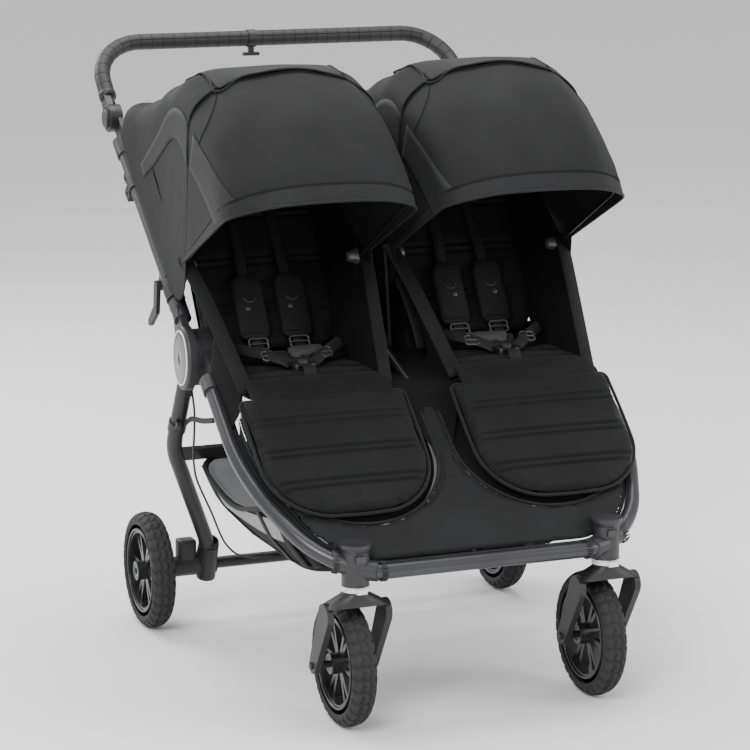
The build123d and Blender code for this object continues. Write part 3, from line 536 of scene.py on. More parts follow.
def pad(name, origin, across, along, normal, outline, thickness,
        cap=0.006, voxel=0.006, channels=(), crown=0.0):
    """Cushion on a flat outline: remeshed, swollen by cloth pressure, then sewn with channels.

    channels are (place along, depth, half-width); the stuffing is pulled in there on both faces."""
    origin, across, along, normal = Vector(origin), Vector(across), Vector(along), Vector(normal)
    ring = [origin + across * p[0] + along * p[1] for p in outline]
    count = len(ring)
    verts = [p - normal * thickness / 2 for p in ring] + [p + normal * thickness / 2 for p in ring]
    faces = [tuple(range(count)), tuple(range(2 * count - 1, count - 1, -1))]
    faces += [(i, (i + 1) % count, count + (i + 1) % count, count + i) for i in range(count)]
    obj = mesh_object(name, verts, faces)
    remesh = obj.modifiers.new("remesh", "REMESH")
    remesh.mode = "VOXEL"
    remesh.voxel_size = voxel
    bake(obj)
    puffed(obj, cap, normal)
    obj.modifiers.new("smooth", "CORRECTIVE_SMOOTH").iterations = 2
    obj.modifiers.new("sub", "SUBSURF").levels = 1
    bake(obj)
    half_width = max(abs(p[0]) for p in outline)
    low = min(p[1] for p in outline)
    high = max(p[1] for p in outline)
    for vertex in obj.data.vertices:
        local = vertex.co - origin
        u = local.dot(across) / half_width
        v = local.dot(along)
        w = local.dot(normal)
        side = 1 if w > 0 else -1
        middle = max(0.0, 1 - u * u) * max(0.0, 1 - ((2 * v - low - high) / (high - low)) ** 2)
        push = crown * middle if side > 0 else 0.0
        for place, depth, width in channels:
            push -= side * depth * exp(-((v - place) / width) ** 2) * min(1.0, 1.25 * (1 - abs(u) ** 6) + 0.1)
        vertex.co += normal * push * min(1.0, abs(w) / (thickness * 0.3))
    smooth_faces(obj)
    return obj


def rounded_outline(half_width, low, high, radii, steps=6):
    """Outline with four round corners; radii are for low and high ends."""
    points = []
    for cx, cy, start, radius in (
        (half_width, low, -90, radii[0]),
        (half_width, high, 0, radii[1]),
        (-half_width, high, 90, radii[1]),
        (-half_width, low, 180, radii[0]),
    ):
        centre_x = cx - radius if cx > 0 else cx + radius
        centre_y = cy + radius if cy == low else cy - radius
        for k in range(steps + 1):
            angle = radians(start + 90 * k / steps)
            points.append((centre_x + radius * cos(angle), centre_y + radius * sin(angle)))
    return points


# ---------------------------------------------------------------- seats
SEAT_X = CREASE.x
BACK_ANGLE = radians(58)
BACK_UP = Vector((0, cos(BACK_ANGLE), sin(BACK_ANGLE)))
BACK_OUT = Vector((0, -sin(BACK_ANGLE), cos(BACK_ANGLE)))
BACK_FOOT = CREASE + Vector((0, 0.004, 0))
CALF_ANGLE = radians(41)
CALF_DOWN = Vector((0, -cos(CALF_ANGLE), -sin(CALF_ANGLE)))
CALF_OUT = Vector((0, -sin(CALF_ANGLE), cos(CALF_ANGLE)))
CALF_LIFT = 0.0115
STITCH_GAP = 0.0065


def doubled(*places, depth=0.0065, width=0.0032):
    """Two sewn lines close together at each place."""
    return [(place + step, depth, width) for place in places for step in (-STITCH_GAP, STITCH_GAP)]


def back_point(across, up, out):
    return BACK_FOOT + X_AXIS * across + BACK_UP * up + BACK_OUT * out


base_low, base_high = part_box("seat_base_left")
base_centre = middle_of("seat_base_left")
base_half = (base_high[0] - base_low[0]) / 2
base_reach = (base_high[1] - base_low[1]) / 2
seat_base = pad(
    "seat_base_left", base_centre - Vector((0, 0, 0.001)), (1, 0, 0), (0, -1, 0), (0, 0, 1),
    rounded_outline(base_half - 0.004, -base_reach + 0.004, base_reach - 0.002, (0.06, 0.02)),
    0.022, channels=doubled(-0.045, 0.015, 0.07), crown=0.004,
)
calf_rest = pad(
    "calf_rest_left", CALF + CALF_OUT * CALF_LIFT, (1, 0, 0), CALF_DOWN, CALF_OUT,
    rounded_outline(0.147, 0.002, 0.248, (0.012, 0.108), steps=10),
    0.015, channels=doubled(0.060, 0.127, 0.192), crown=0.004,
)
seat_back = pad(
    "seat_back_left", back_point(0, 0, -0.013), (1, 0, 0), BACK_UP, BACK_OUT,
    rounded_outline(0.127, 0.020, 0.467, (0.05, 0.05)),
    0.018, cap=0.005, channels=doubled(0.10, 0.19, 0.28, 0.37), crown=0.003,
)
for piece, kind, body, nodes in (
    (seat_base, "seat_base", "front_frame", "seat_base_"),
    (calf_rest, "calf_rest", "calf_rest_", "calf_rest_"),
    (seat_back, "seat_back", "seat_back_", "seat_back_"),
):
    for side, sign in SIDES:
        part = piece if sign > 0 else reflected(piece, f"{kind}_right")
        part.name = f"{kind}_pad_{side}"
        dress(part, body + side if body.endswith("_") else body, SEAT_CLOTH, "seat_cloth", nodes + side)

# Bound edge round each leg pad.
calf_edge = [CALF + X_AXIS * p[0] + CALF_DOWN * p[1] + CALF_OUT * CALF_LIFT
             for p in rounded_outline(0.1495, 0.004, 0.2505, (0.012, 0.110), steps=8)]
for side, sign in SIDES:
    line = [mirrored(p, sign) for p in calf_edge]
    binding = curve_through(f"calf_binding_{side}", line, 0.0028, cyclic=True)
    dress(binding, f"calf_rest_{side}", PIPING, "seat_cloth")


# ---------------------------------------------------------------- harness
STRAP_OFFSETS = (-0.040, 0.040)
WEB_WIDTH = 0.020


def harness_pad(index, offset):
    outline = rounded_outline(0.0290, -0.062, 0.062, (0.014, 0.022))
    return pad(f"harness_pad_{index}", back_point(offset, 0.092, 0.0185), (1, 0, 0), BACK_UP, BACK_OUT,
               outline, 0.009, cap=0.0012, voxel=0.004, channels=[(-0.048, 0.002, 0.003)], crown=0.001)


def crescent(offset):
    """Small moon-shaped slit tab and a snap on a shoulder pad."""
    arc = [back_point(offset + 0.011 * cos(a), 0.108 - 0.009 * sin(a), 0.0262 + 0.001 * sin(a))
           for a in [pi * k / 8 for k in range(9)]]
    snap = lathe("snap", back_point(offset + 0.006, 0.088, 0.0240), BACK_OUT,
                 [(0, 0.0001), (0, 0.0052), (0.0018, 0.005), (0.0026, 0.0036), (0.0026, 0.0001)], 20)
    return [curve_through("slit", arc, 0.0011), snap]


def slider(centre, across, up, width=0.034, height=0.020):
    """Three-bar webbing slider."""
    across, up = Vector(across), Vector(up)
    out = across.cross(up)
    w, h = width / 2, height / 2
    corners = [(-w, -h), (w, -h), (w, h), (-w, h)]
    frame_line = []
    for i, (a, b) in enumerate(corners):
        c, d = corners[(i + 1) % 4]
        for t in (0.12, 0.5, 0.88):
            frame_line.append(Vector(centre) + across * (a + (c - a) * t) + up * (b + (d - b) * t))
    parts = [curve_through("slider_frame", frame_line, 0.0021, cyclic=True)]
    bar = [Vector(centre) + across * t * width + out * 0.001 for t in (-0.46, 0, 0.46)]
    parts.append(curve_through("slider_bar", bar, 0.0018))
    return parts


first_pads = [harness_pad(i, offset) for i, offset in enumerate(STRAP_OFFSETS)]
left_pads = merged("shoulder_pads_left", first_pads)
details, webs = [], []
BUCKLE = middle_of("harness_buckles")
BUCKLE.x = SEAT_X
for offset in STRAP_OFFSETS:
    details += crescent(offset)
    details += slider(back_point(offset * 0.96, 0.020, 0.0235), X_AXIS, BACK_UP)
    lower = BUCKLE + Vector((offset * 0.32, 0.016, 0.007))
    shoulder = [back_point(offset * share, up, out) for share, up, out in (
        (0.9, 0.300, 0.003), (0.95, 0.22, 0.011), (1, 0.150, 0.0125),
        (1, 0.09, 0.0125), (0.98, 0.035, 0.018), (0.92, 0.004, 0.030))]
    shoulder += [lower + Vector((offset * 0.25, 0.030, 0.012)), lower]
    webs.append(strap("web", shoulder, WEB_WIDTH, (1, 0, 0)))
    hip = Vector((SEAT_X + offset * 2.9, CREASE.y - 0.020, CREASE.z + 0.016))
    webs.append(strap("web", [hip, hip + Vector((-offset * 0.5, -0.030, 0.016)),
                              BUCKLE + Vector((offset * 1.15, 0.020, 0.016)),
                              BUCKLE + Vector((offset * 0.52, 0.004, 0.004))], WEB_WIDTH, (0, 0.75, 0.66)))
    details += slider(BUCKLE + Vector((offset * 1.35, 0.028, 0.0175)), (0.9, -0.42, 0), (0.1, 0.6, 0.5),
                      0.024, 0.024)
webs.append(strap("web", [BUCKLE + Vector((0, -0.014, 0.004)), BUCKLE + Vector((0, -0.032, 0.006)),
                          BUCKLE + Vector((0, -0.044, -0.0075))], 0.024, (1, 0, 0)))
waist_pad = pad("waist_pad_left", BUCKLE + Vector((-0.020, 0.034, 0.020)),
                (0.98, -0.19, 0), (0.12, 0.62, 0.55), (-0.1, -0.54, 0.62),
                rounded_outline(0.036, -0.016, 0.016, (0.008, 0.008)), 0.006,
                cap=0.003, voxel=0.004, crown=0.004)
left_details = merged("harness_sliders_left", details)
left_webs = merged("harness_webbing_left", webs)
for side, sign in SIDES:
    for piece, kind, material, slot, nodes in (
        (left_pads, "shoulder_pads", PAD_CLOTH, "pad_cloth", ["harness_" + side]),
        (left_details, "harness_sliders", BUTTON_PLASTIC, "hard_plastic", []),
        (left_webs, "harness_webbing", WEBBING, "pad_cloth", []),
        (waist_pad, "waist_pad", SATIN, "pad_cloth", []),
    ):
        part = piece if sign > 0 else reflected(piece, f"{kind}_right")
        dress(part, "seat_back_" + side, material, slot, *nodes)


# ---------------------------------------------------------------- canopies
CANOPY_HALF = 0.172
SECTION = rounded_corners(
    [(-CANOPY_HALF, 0.026, 0), (-CANOPY_HALF, 0.286, 0), (-0.108, 0.336, 0), (0, 0.352, 0), (0.108, 0.336, 0),
     (CANOPY_HALF, 0.286, 0), (CANOPY_HALF, 0.026, 0)],
    [0.055, 0.09, 0.3, 0.09, 0.055],
)
SECTION = evenly(SECTION, 57)
FRONT_START, FRONT_END = 101.5, 154.5
VISOR_START, VISOR_END = 149.6, 154.9
SLACK = 0.010


def canopy_point(centre_x, angle, across, outward_distance):
    a = radians(angle)
    return Vector((centre_x + across, KNOB.y + outward_distance * cos(a), KNOB.z + outward_distance * sin(a)))


def front_line(centre_x, angle, lift=0.0):
    """Line across the front hood's cloth at one angle about the knobs."""
    overall = (angle - FRONT_START) / (FRONT_END - FRONT_START)
    slack = SLACK * sin(pi * min(1.0, max(0.0, overall)))
    row = []
    for p in SECTION:
        height = max(0.0, (p.y - 0.10) / 0.25)
        full = min(1.0, height)
        pull = slack * full
        puff = 0.0
        if p.y > 0.3:
            puff = 0.004 * sin(pi * overall) * sin(pi * (p.x + CANOPY_HALF) / (2 * CANOPY_HALF))
        wave = 0.0012 * sin(9.0 * p.x / CANOPY_HALF + 5 * overall) * full
        outward = lift if p.x > 0 else -lift
        across = p.x * (1 - 0.03 * (pull / SLACK) * (1 - height)) + outward * (1 - full)
        row.append(canopy_point(centre_x, angle, across, p.y - pull + puff + wave + lift * full))
    return row


def front_rows(centre_x, start, end, count, lift=0.0):
    return [front_line(centre_x, start + (end - start) * (i / (count - 1)), lift) for i in range(count)]


REAR_LOW, REAR_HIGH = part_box("canopy_rear_left")
REAR_HALF = (REAR_HIGH[0] - REAR_LOW[0]) / 2
REAR_TOP = [(-0.0885, 1.0630), (-0.030, 1.0635), (0.006, 1.060), (0.056, 1.034), (0.148, 1.002),
            (0.240, 0.986), (REAR_HIGH[1] - 0.012, 0.972), (REAR_HIGH[1] - 0.001, 0.955),
            (REAR_HIGH[1], 0.925)]
REAR_FOOT = [(-0.048, 0.690), (-0.028, 0.660), (0.020, 0.662), (0.085, 0.712), (0.165, 0.773), (0.245, 0.834),
             (REAR_HIGH[1] - 0.016, 0.892), (REAR_HIGH[1] - 0.004, 0.899), (REAR_HIGH[1], 0.903)]


def rear_rows(centre_x):
    """Slices of the rear hood, from its front edge back to the handle's hinges."""
    tops = evenly(smooth_line([Vector((0, y, z)) for y, z in REAR_TOP], 6), 26)
    feet = evenly(smooth_line([Vector((0, y, z)) for y, z in REAR_FOOT], 6), 26)
    rows = []
    for i, (top, foot) in enumerate(zip(tops, feet)):
        t = i / 25
        height = (top - foot).length
        corner = min(0.048, height * 0.3)
        crown = -0.012 * sin(pi * (t - 0.5) * 2) if t > 0.5 else 0.0
        drop = max(0.0, 1 - t / 0.42) ** 1.2
        half = REAR_HALF - 0.002 - 0.0009 * max(0.0, 1 - t / 0.12)
        if height > 0.05:
            shoulder = height - 0.065 * drop
            ridge = height + crown - 0.016 * drop
            outline = rounded_corners(
                [(-half, 0, 0), (-half, shoulder, 0), (-0.108, ridge, 0),
                 (0.108, ridge, 0), (half, shoulder, 0), (half, 0, 0)],
                [corner, 0.09, 0.09, corner],
            )
        else:
            side = REAR_HALF - 0.002
            outline = [Vector((x, y, 0)) for x, y in ((-side, 0), (-side, height), (0, height),
                                                      (side, height), (side, 0))]
        up = (top - foot).normalized()
        row = []
        for p in evenly(outline, 57):
            rise = p.y / max(height, 0.001)
            sag = 0.010 * sin(pi * min(1.0, rise)) * sin(pi * t) if abs(p.x) > REAR_HALF * 0.9 else 0.0
            ripple = 0.0022 * sin(26 * t + 4 * rise) * sin(pi * t) * rise
            x = p.x * (1 - sag / REAR_HALF)
            row.append(foot + up * (p.y + ripple) + X_AXIS * (centre_x + x))
        rows.append(row)
    return rows


SEAM_CURVED = [(-0.104, 1.052), (-0.125, 1.030), (-0.140, 0.985), (-0.130, 0.943)]
BAND_OUTER = [(0.219, 0.868), (0.165, 0.905), (0.109, 0.938), (0.048, 0.978), (0.003, 0.993),
              (-0.042, 0.990), (-0.085, 0.968)]
BAND_INNER = [(0.200, 0.848), (0.153, 0.872), (0.092, 0.905), (0.034, 0.934), (-0.011, 0.938),
              (-0.048, 0.918), (-0.072, 0.900)]
FRONT_OUTER = [(-0.100, 0.958), (-0.130, 0.943), (-0.190, 0.913), (-0.245, 0.880), (-0.292, 0.848)]
FRONT_INNER = [(-0.080, 0.896), (-0.105, 0.883), (-0.150, 0.858), (-0.190, 0.833), (-0.224, 0.812)]


def side_strip(name, tree, x, outer, inner, direction, lift):
    """Thin sewn-on band between two lines of a hood's side."""
    top = evenly(smooth_line([Vector((x, y, z)) for y, z in outer], 4), 24)
    low = evenly(smooth_line([Vector((x, y, z)) for y, z in inner], 4), 24)
    rows = [onto(tree, [a.lerp(b, k / 5) for k in range(6)], direction, lift) for a, b in zip(top, low)]
    return thicken(grid(name, rows), 0.0009, 0)


def seam(name, tree, points, direction, radius=0.0009, lift=0.0003):
    dense = smooth_line([Vector(p) for p in points], 6)
    return curve_through(name, onto(tree, dense, direction, lift), radius)


def flap_lines(centre_x, surfaces):
    """Rows of the loose flap that lies on top of a hood."""
    rows = []
    for i in range(9):
        t = i / 8
        row = []
        for k in range(13):
            u = k / 12
            spot = Vector((centre_x - 0.126 + 0.236 * u, 0.070 - 0.166 * t + 0.010 * u, 1.3))
            hits = [tree.ray_cast(spot, Vector((0, 0, -1)))[0] for tree in surfaces]
            top = max(hit.z for hit in hits if hit is not None)
            loose = 0.0035 * t * sin(pi * u) + 0.0008 * sin(9 * u + 5 * t)
            row.append(Vector((spot.x, spot.y, top + 0.0035 + loose)))
        rows.append(row)
    return rows


for side, sign in SIDES:
    centre = sign * KNOB.x
    front = cloth_sheet(f"canopy_front_{side}_sheet", front_rows(centre, FRONT_START, FRONT_END, 13))
    dress(front, f"canopy_{side}", CANOPY_CLOTH, "canopy_cloth", f"canopy_front_{side}")
    rear = cloth_sheet(f"canopy_rear_{side}_sheet", rear_rows(centre))
    dress(rear, "upper_frame", SIDE_CLOTH, "canopy_cloth", f"canopy_rear_{side}")
    visor_rows = front_rows(centre, VISOR_START, VISOR_END, 4, lift=0.0019)
    visor = cloth_sheet(f"visor_band_{side}", visor_rows, 0.0016, 1)
    dress(visor, f"canopy_{side}", BAND_CLOTH, "canopy_cloth")
    hem_line = front_line(centre, VISOR_END, lift=0.001)
    hem = curve_through(f"visor_hem_{side}", hem_line[::2], 0.0024)
    dress(hem, f"canopy_{side}", BAND_CLOTH, "canopy_cloth")
    front_tree = surface_tree(front)
    rear_tree = surface_tree(rear)
    outer_seams, rear_seams = [], []
    for face, tag in FACES:
        x = centre + face * 0.19
        inward = (-face, 0, 0)
        corner = [canopy_point(centre, 103, face * 0.112, 0.36),
                  canopy_point(centre, 104, face * 0.150, 0.34)]
        curve = corner + [Vector((centre + face * 0.18, y, z)) for y, z in SEAM_CURVED[1:]]
        outer_seams.append(seam("curved", front_tree, curve, (-face * 0.8, 0.25, -0.35)))
        for kind, tree, body, seams, outer, inner in (
            ("front", front_tree, f"canopy_{side}", outer_seams, FRONT_OUTER, FRONT_INNER),
            ("rear", rear_tree, "upper_frame", rear_seams, BAND_OUTER, BAND_INNER),
        ):
            for line in (outer, inner):
                seams.append(seam("line", tree, [(x, y, z) for y, z in line], inward))
            band = side_strip(f"band_{kind}_{side}_{tag}", tree, x, outer, inner, inward, 0.0008)
            dress(band, body, BAND_CLOTH, "canopy_cloth")
    for place in (149.4, 149.9):
        line = front_line(centre, place, lift=0.0024)
        outer_seams.append(curve_through("stitch", line[3:-3:2], 0.0006))
    ridge = front_line(centre, FRONT_START + 1.6, lift=0.0016)[12:-12]
    outer_seams.append(curve_through("ridge", ridge[::2], 0.0014))
    dress(merged(f"canopy_front_seams_{side}", outer_seams), f"canopy_{side}", THREAD, "canopy_cloth")
    dress(merged(f"canopy_rear_seams_{side}", rear_seams), "upper_frame", THREAD, "canopy_cloth")
    flap_rows = flap_lines(centre, (rear_tree, front_tree))
    flap = cloth_sheet(f"window_flap_{side}", flap_rows, 0.0024, 1)
    dress(flap, "upper_frame", BAND_CLOTH, "canopy_cloth")
    edge = flap_rows[0] + [r[-1] for r in flap_rows[1:-1]]
    edge += flap_rows[-1][::-1] + [r[0] for r in flap_rows[-2:0:-1]]
    binding = curve_through(f"window_flap_edge_{side}", edge[::2], 0.0018, cyclic=True)
    dress(binding, "upper_frame", PIPING, "canopy_cloth")
    for face, tag in FACES:
        knob_centre = Vector((centre + face * 0.1655, KNOB.y, KNOB.z))
        cap = lathe(f"canopy_knob_{side}_{tag}", knob_centre, (-face, 0, 0),
                    [(0.004, 0.0001), (0.004, 0.0170), (0.0075, 0.0165), (0.010, 0.0125), (0.020, 0.0105),
                     (0.0235, 0.0090), (0.025, 0.0001)])
        dress(cap, f"canopy_{side}", KNOB_METAL, "frame_metal")


# ---------------------------------------------------------------- front panel
FRONT_SLOPE = radians(38)
PANEL_ORIGIN = Vector((0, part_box("front_tube")[0][1] + 0.013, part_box("front_tube")[0][2] + 0.017))
PANEL_UP = Vector((0, cos(FRONT_SLOPE), sin(FRONT_SLOPE)))
PANEL_OUT = Vector((0, -sin(FRONT_SLOPE), cos(FRONT_SLOPE)))


def panel_edge(sign, inset=0.0):
    """Outer edge of the front panel beside the rail, from the top to the middle of the front."""
    corners = [(0.3415, 0.342), (0.345, 0.251), (0.278, 0.056), (0.197, 0.0155), (0, 0.0155)]
    corners = [Vector((sign * max(0.0, x - inset), y + (inset if y < 0.1 else 0), 0)) for x, y in corners]
    return rounded_corners(corners, [0.40, 0.15, 0.085])


def scoop_edge(sign, grow=0.0, top=0.342):
    """Edge of one scoop, from its outer top corner round to its inner top corner."""
    outer, inner, low = 0.325 + grow, 0.017 - grow, 0.092 - grow
    radius = 0.150 + grow
    corners = [(outer, top), (outer, low), (inner, low), (inner, top)]
    return rounded_corners([Vector((sign * x, y, 0)) for x, y in corners], [radius, radius], steps=12)


panel_outline = []
for sign in (1, -1):
    outer = panel_edge(sign)
    inner = scoop_edge(sign)
    side_outline = outer[::-1] + inner if sign > 0 else (outer[::-1] + inner)[::-1]
    panel_outline += side_outline[1:] if sign > 0 else side_outline[:-1]
panel = pad("front_panel", PANEL_ORIGIN + PANEL_OUT * 0.002, (1, 0, 0), PANEL_UP, PANEL_OUT,
            [(p.x, p.y) for p in panel_outline], 0.005, cap=0.0035, voxel=0.005)
dress(panel, "front_frame", APRON_CLOTH, "seat_cloth", "seat_apron")


def panel_line(path, out):
    return [PANEL_ORIGIN + X_AXIS * p.x + PANEL_UP * p.y + PANEL_OUT * out for p in path]


trim = []
for sign in (1, -1):
    for grow, radius, out in ((0.001, 0.0028, 0.004), (0.010, 0.0007, 0.0068), (0.013, 0.0007, 0.0068)):
        trim.append(curve_through("edge", panel_line(evenly(scoop_edge(sign, grow), 40), out), radius))
dress(merged("front_panel_trim", trim), "front_frame", PIPING, "seat_cloth")

# Skirt below each leg pad, which closes the scoop round it.
for side, sign in SIDES:
    edge = evenly(scoop_edge(sign, -0.003), 61)
    rows = [[PANEL_ORIGIN + X_AXIS * (a.x + (b.x - a.x) * k / 12) + PANEL_UP * (a.y + (b.y - a.y) * k / 12)
             + PANEL_OUT * (-0.004 - 0.006 * sin(pi * k / 12)) for k in range(13)]
            for a, b in zip(edge[:30], edge[:30:-1])]
    skirt = cloth_sheet(f"calf_skirt_{side}", rows, 0.0024, 1)
    dress(skirt, f"calf_rest_{side}", SHADED_LINING_CLOTH, "seat_cloth")

middle_rows = []
for y, edge_z, dip in ((CREASE.y + 0.040, 0.542, 0.0), (-0.090, 0.533, 0.010), (-0.160, 0.532, 0.012),
                       (-0.218, 0.528, 0.010), (-0.236, 0.515, 0.006), (-0.243, 0.500, 0.001),
                       (-0.262, 0.4775, 0.0),
                       (-0.292, 0.4540, 0.0), (-0.325, 0.4280, 0.0)):
    reach = 0.072 if y > -0.24 else max(0.017, 0.068 - (-0.24 - y) * 0.62)
    middle_rows.append([Vector((reach * (k / 6 - 1), y, edge_z - dip * cos(pi * (k / 12 - 0.5))))
                        for k in range(13)])
between = cloth_sheet("seat_middle", middle_rows, 0.0026, 1)
dress(between, "front_frame", SHADED_LINING_CLOTH, "seat_cloth")

middle_back = []
for up, reach in ((-0.01, 0.076), (0.06, 0.074), (0.12, 0.072), (0.17, 0.060), (0.22, 0.040),
                  (0.27, 0.020), (0.36, 0.016)):
    point = back_point(0, up, -0.020)
    middle_back.append([Vector((reach * (k / 5 - 1), point.y, point.z)) for k in range(11)])
dress(cloth_sheet("seat_middle_back", middle_back, 0.0026, 1), "upper_frame", SHADED_LINING_CLOTH, "seat_cloth")
for side, sign in SIDES:
    rows = []
    for y, z in ((-0.090, 0.5115), (-0.060, 0.5110), (-0.034, 0.5135), (-0.010, 0.524),
                 (0.008, 0.543), (0.022, 0.570)):
        rows.append([Vector((sign * (SEAT_X + 0.141 * (k / 6 - 1)), y, z)) for k in range(13)])
    dress(cloth_sheet(f"seat_crease_{side}", rows, 0.0024, 1), "front_frame", SHADED_LINING_CLOTH, "seat_cloth")

# Cord in the rail's inner channel, which holds the front panel.
RAIL_SLOPE = radians(33.5)
RAIL_UP = Vector((0, cos(RAIL_SLOPE), sin(RAIL_SLOPE)))
RAIL_OUT = Vector((0, -sin(RAIL_SLOPE), cos(RAIL_SLOPE)))
RAIL_ORIGIN = Vector((0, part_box("front_tube")[0][1] + 0.013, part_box("front_tube")[0][2] + 0.013))


def rail_path(inset, out):
    half = [(0.352, 0.425), (0.360, 0.235), (0.290, 0.042), (0.200, 0.0), (0, 0.0)]
    half = [Vector((x - (inset if x else 0), y + (inset * 0.9 if y < 0.1 else 0), 0)) for x, y in half]
    right = rounded_corners(half, [0.43, 0.165, 0.09])
    left = [Vector((-p.x, p.y, 0)) for p in right]
    path = right + left[::-1][1:]
    return [RAIL_ORIGIN + X_AXIS * p.x + RAIL_UP * p.y + RAIL_OUT * out for p in evenly(path, 90)]


def on_rail(x, y, inset):
    """Point on the rail's plane at a given place in plan, moved in towards the middle."""
    along = (y - RAIL_ORIGIN.y) / RAIL_UP.y
    return Vector((x - inset, RAIL_ORIGIN.y + RAIL_UP.y * along, RAIL_ORIGIN.z + RAIL_UP.z * along))


for side, sign in SIDES:
    top = panel_line(evenly(panel_edge(sign), 48), 0.001)
    rows = []
    for p in top:
        low = on_rail(p.x, p.y, sign * 0.002) + Vector((0, 0, 0.004))
        rows.append([p.lerp(low, k / 4) + X_AXIS * (sign * -0.0025 * sin(pi * k / 4)) for k in range(5)])
    dress(cloth_sheet(f"panel_side_{side}", rows, 0.0022, 1), "front_frame", APRON_CLOTH, "seat_cloth")
    corner_rows = []
    for y, x, z in ((-0.236, 0.338, 0.494), (-0.226, 0.322, 0.530), (-0.195, 0.327, 0.562),
                    (-0.160, 0.334, 0.598), (-0.125, 0.341, 0.634)):
        head = Vector((sign * x, y, z))
        low = on_rail(sign * 0.352, y + 0.006, sign * 0.002)
        corner_rows.append([head.lerp(low, k / 5) + X_AXIS * (sign * 0.003 * sin(pi * k / 5))
                            for k in range(6)])
    corner = cloth_sheet(f"seat_corner_{side}", corner_rows, 0.0022, 1)
    dress(corner, "front_frame", SHADED_LINING_CLOTH, "seat_cloth")
for side, sign in SIDES:
    rows = []
    for along in (0.130, 0.170, 0.210, 0.250, 0.290, 0.320, 0.340):
        low = PANEL_ORIGIN + PANEL_UP * along
        reach = (CALF.y - low.y) / -CALF_DOWN.y
        high = CALF + CALF_DOWN * reach
        x_low = 0.322 - max(0.0, 0.250 - along) * 0.22
        a = Vector((sign * x_low, low.y, low.z - 0.002))
        b = Vector((sign * (x_low + 0.014), high.y, high.z + 0.003))
        rows.append([a.lerp(b, k / 4) for k in range(5)])
    rows.append([Vector((sign * (0.322 + 0.003 * k), CALF.y + 0.012, 0.500 + 0.008 * k)) for k in range(5)])
    dress(cloth_sheet(f"calf_side_{side}", rows, 0.0022, 1), "front_frame", SHADED_LINING_CLOTH, "seat_cloth")
dress(curve_through("rail_piping", rail_path(0.0145, 0.0035), 0.0034), "front_frame", PIPING, "seat_cloth")
dress(curve_through("rail_bead", rail_path(0.0105, 0.0095), 0.0011), "front_frame", PIPING, "seat_cloth")


# ---------------------------------------------------------------- side gussets and straps of the seats
def wing(name, sign, face):
    """Cloth side of a seat, from the backrest's edge to the canopy and the seat's front corner."""
    def place(across, y, z):
        return Vector((sign * (SEAT_X + face * across), y, z))

    back = [place(0.122, CREASE.y + 0.006, CREASE.z - 0.010)]
    for up in (0.09, 0.20, 0.31, 0.42, 0.475):
        point = back_point(0, up, -0.017)
        back.append(place(0.118, point.y, point.z))
    outer = [place(0.127, CALF.y + 0.012, CREASE.z - 0.014), place(0.142, -0.150, 0.610),
             place(0.156, -0.080, 0.680), place(0.168, -0.014, 0.735), place(0.170, 0.075, 0.800),
             place(0.168, 0.165, 0.880), place(0.140, 0.232, 0.958)]
    outer_line = smooth_line(outer, 5)
    rows = []
    for a, b in zip(evenly(smooth_line(back, 5), 26), evenly(outer_line, 26)):
        row = []
        for k in range(9):
            t = k / 8
            fold_wave = 0.0025 * sin(11 * t + 40 * a.z)
            hang = sin(pi * t)
            row.append(a.lerp(b, t) + Vector((0, 0.010 * hang, -0.010 * hang + fold_wave * hang)))
        rows.append(row)
    return cloth_sheet(name, rows, 0.0024, 1), outer_line[:16]


for side, sign in SIDES:
    for face, tag in FACES[::-1]:
        sheet_piece, edge_line = wing(f"seat_side_{side}_{tag}", sign, face)
        edge_piece = strap(f"seat_side_edge_{side}_{tag}", edge_line[::3], 0.026, (sign * face, 0.5, 0.2))
        for part, material in ((sheet_piece, SHADED_LINING_CLOTH), (edge_piece, PAD_CLOTH)):
            part.data.materials.clear()
            part.data.materials.append(material)
            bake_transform(part)
for side, sign in SIDES:
    rows = []
    for p in (Vector((0, CALF.y + 0.040, CREASE.z + 0.0005)), Vector((0, CALF.y + 0.020, CREASE.z - 0.001)),
              Vector((0, CALF.y + 0.004, CREASE.z - 0.006)), CALF + CALF_DOWN * 0.006 + CALF_OUT * 0.019,
              CALF + CALF_DOWN * 0.020 + CALF_OUT * 0.0205):
        rows.append([Vector((sign * (SEAT_X + 0.130 * (k / 6 - 1)), p.y, p.z)) for k in range(13)])
    fold_piece = cloth_sheet(f"seat_fold_{side}", rows, 0.003, 1)
    fold_piece.data.materials.append(SEAT_CLOTH)
    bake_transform(fold_piece)
for side, sign in SIDES:
    path = [(sign * 0.034, KNOB.y - 0.004, KNOB.z - 0.020), (sign * 0.042, -0.040, 0.655),
            (sign * 0.046, -0.085, 0.600), (sign * 0.048, -0.110, 0.560)]
    inner_strap = strap(f"canopy_tie_{side}", path, 0.018, (0.9, 0.3, 0.1))
    inner_strap.data.materials.append(WEBBING)
    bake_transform(inner_strap)


# ---------------------------------------------------------------- basket
BASKET_LOW, BASKET_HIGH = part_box("basket")
RING_COUNT = 96


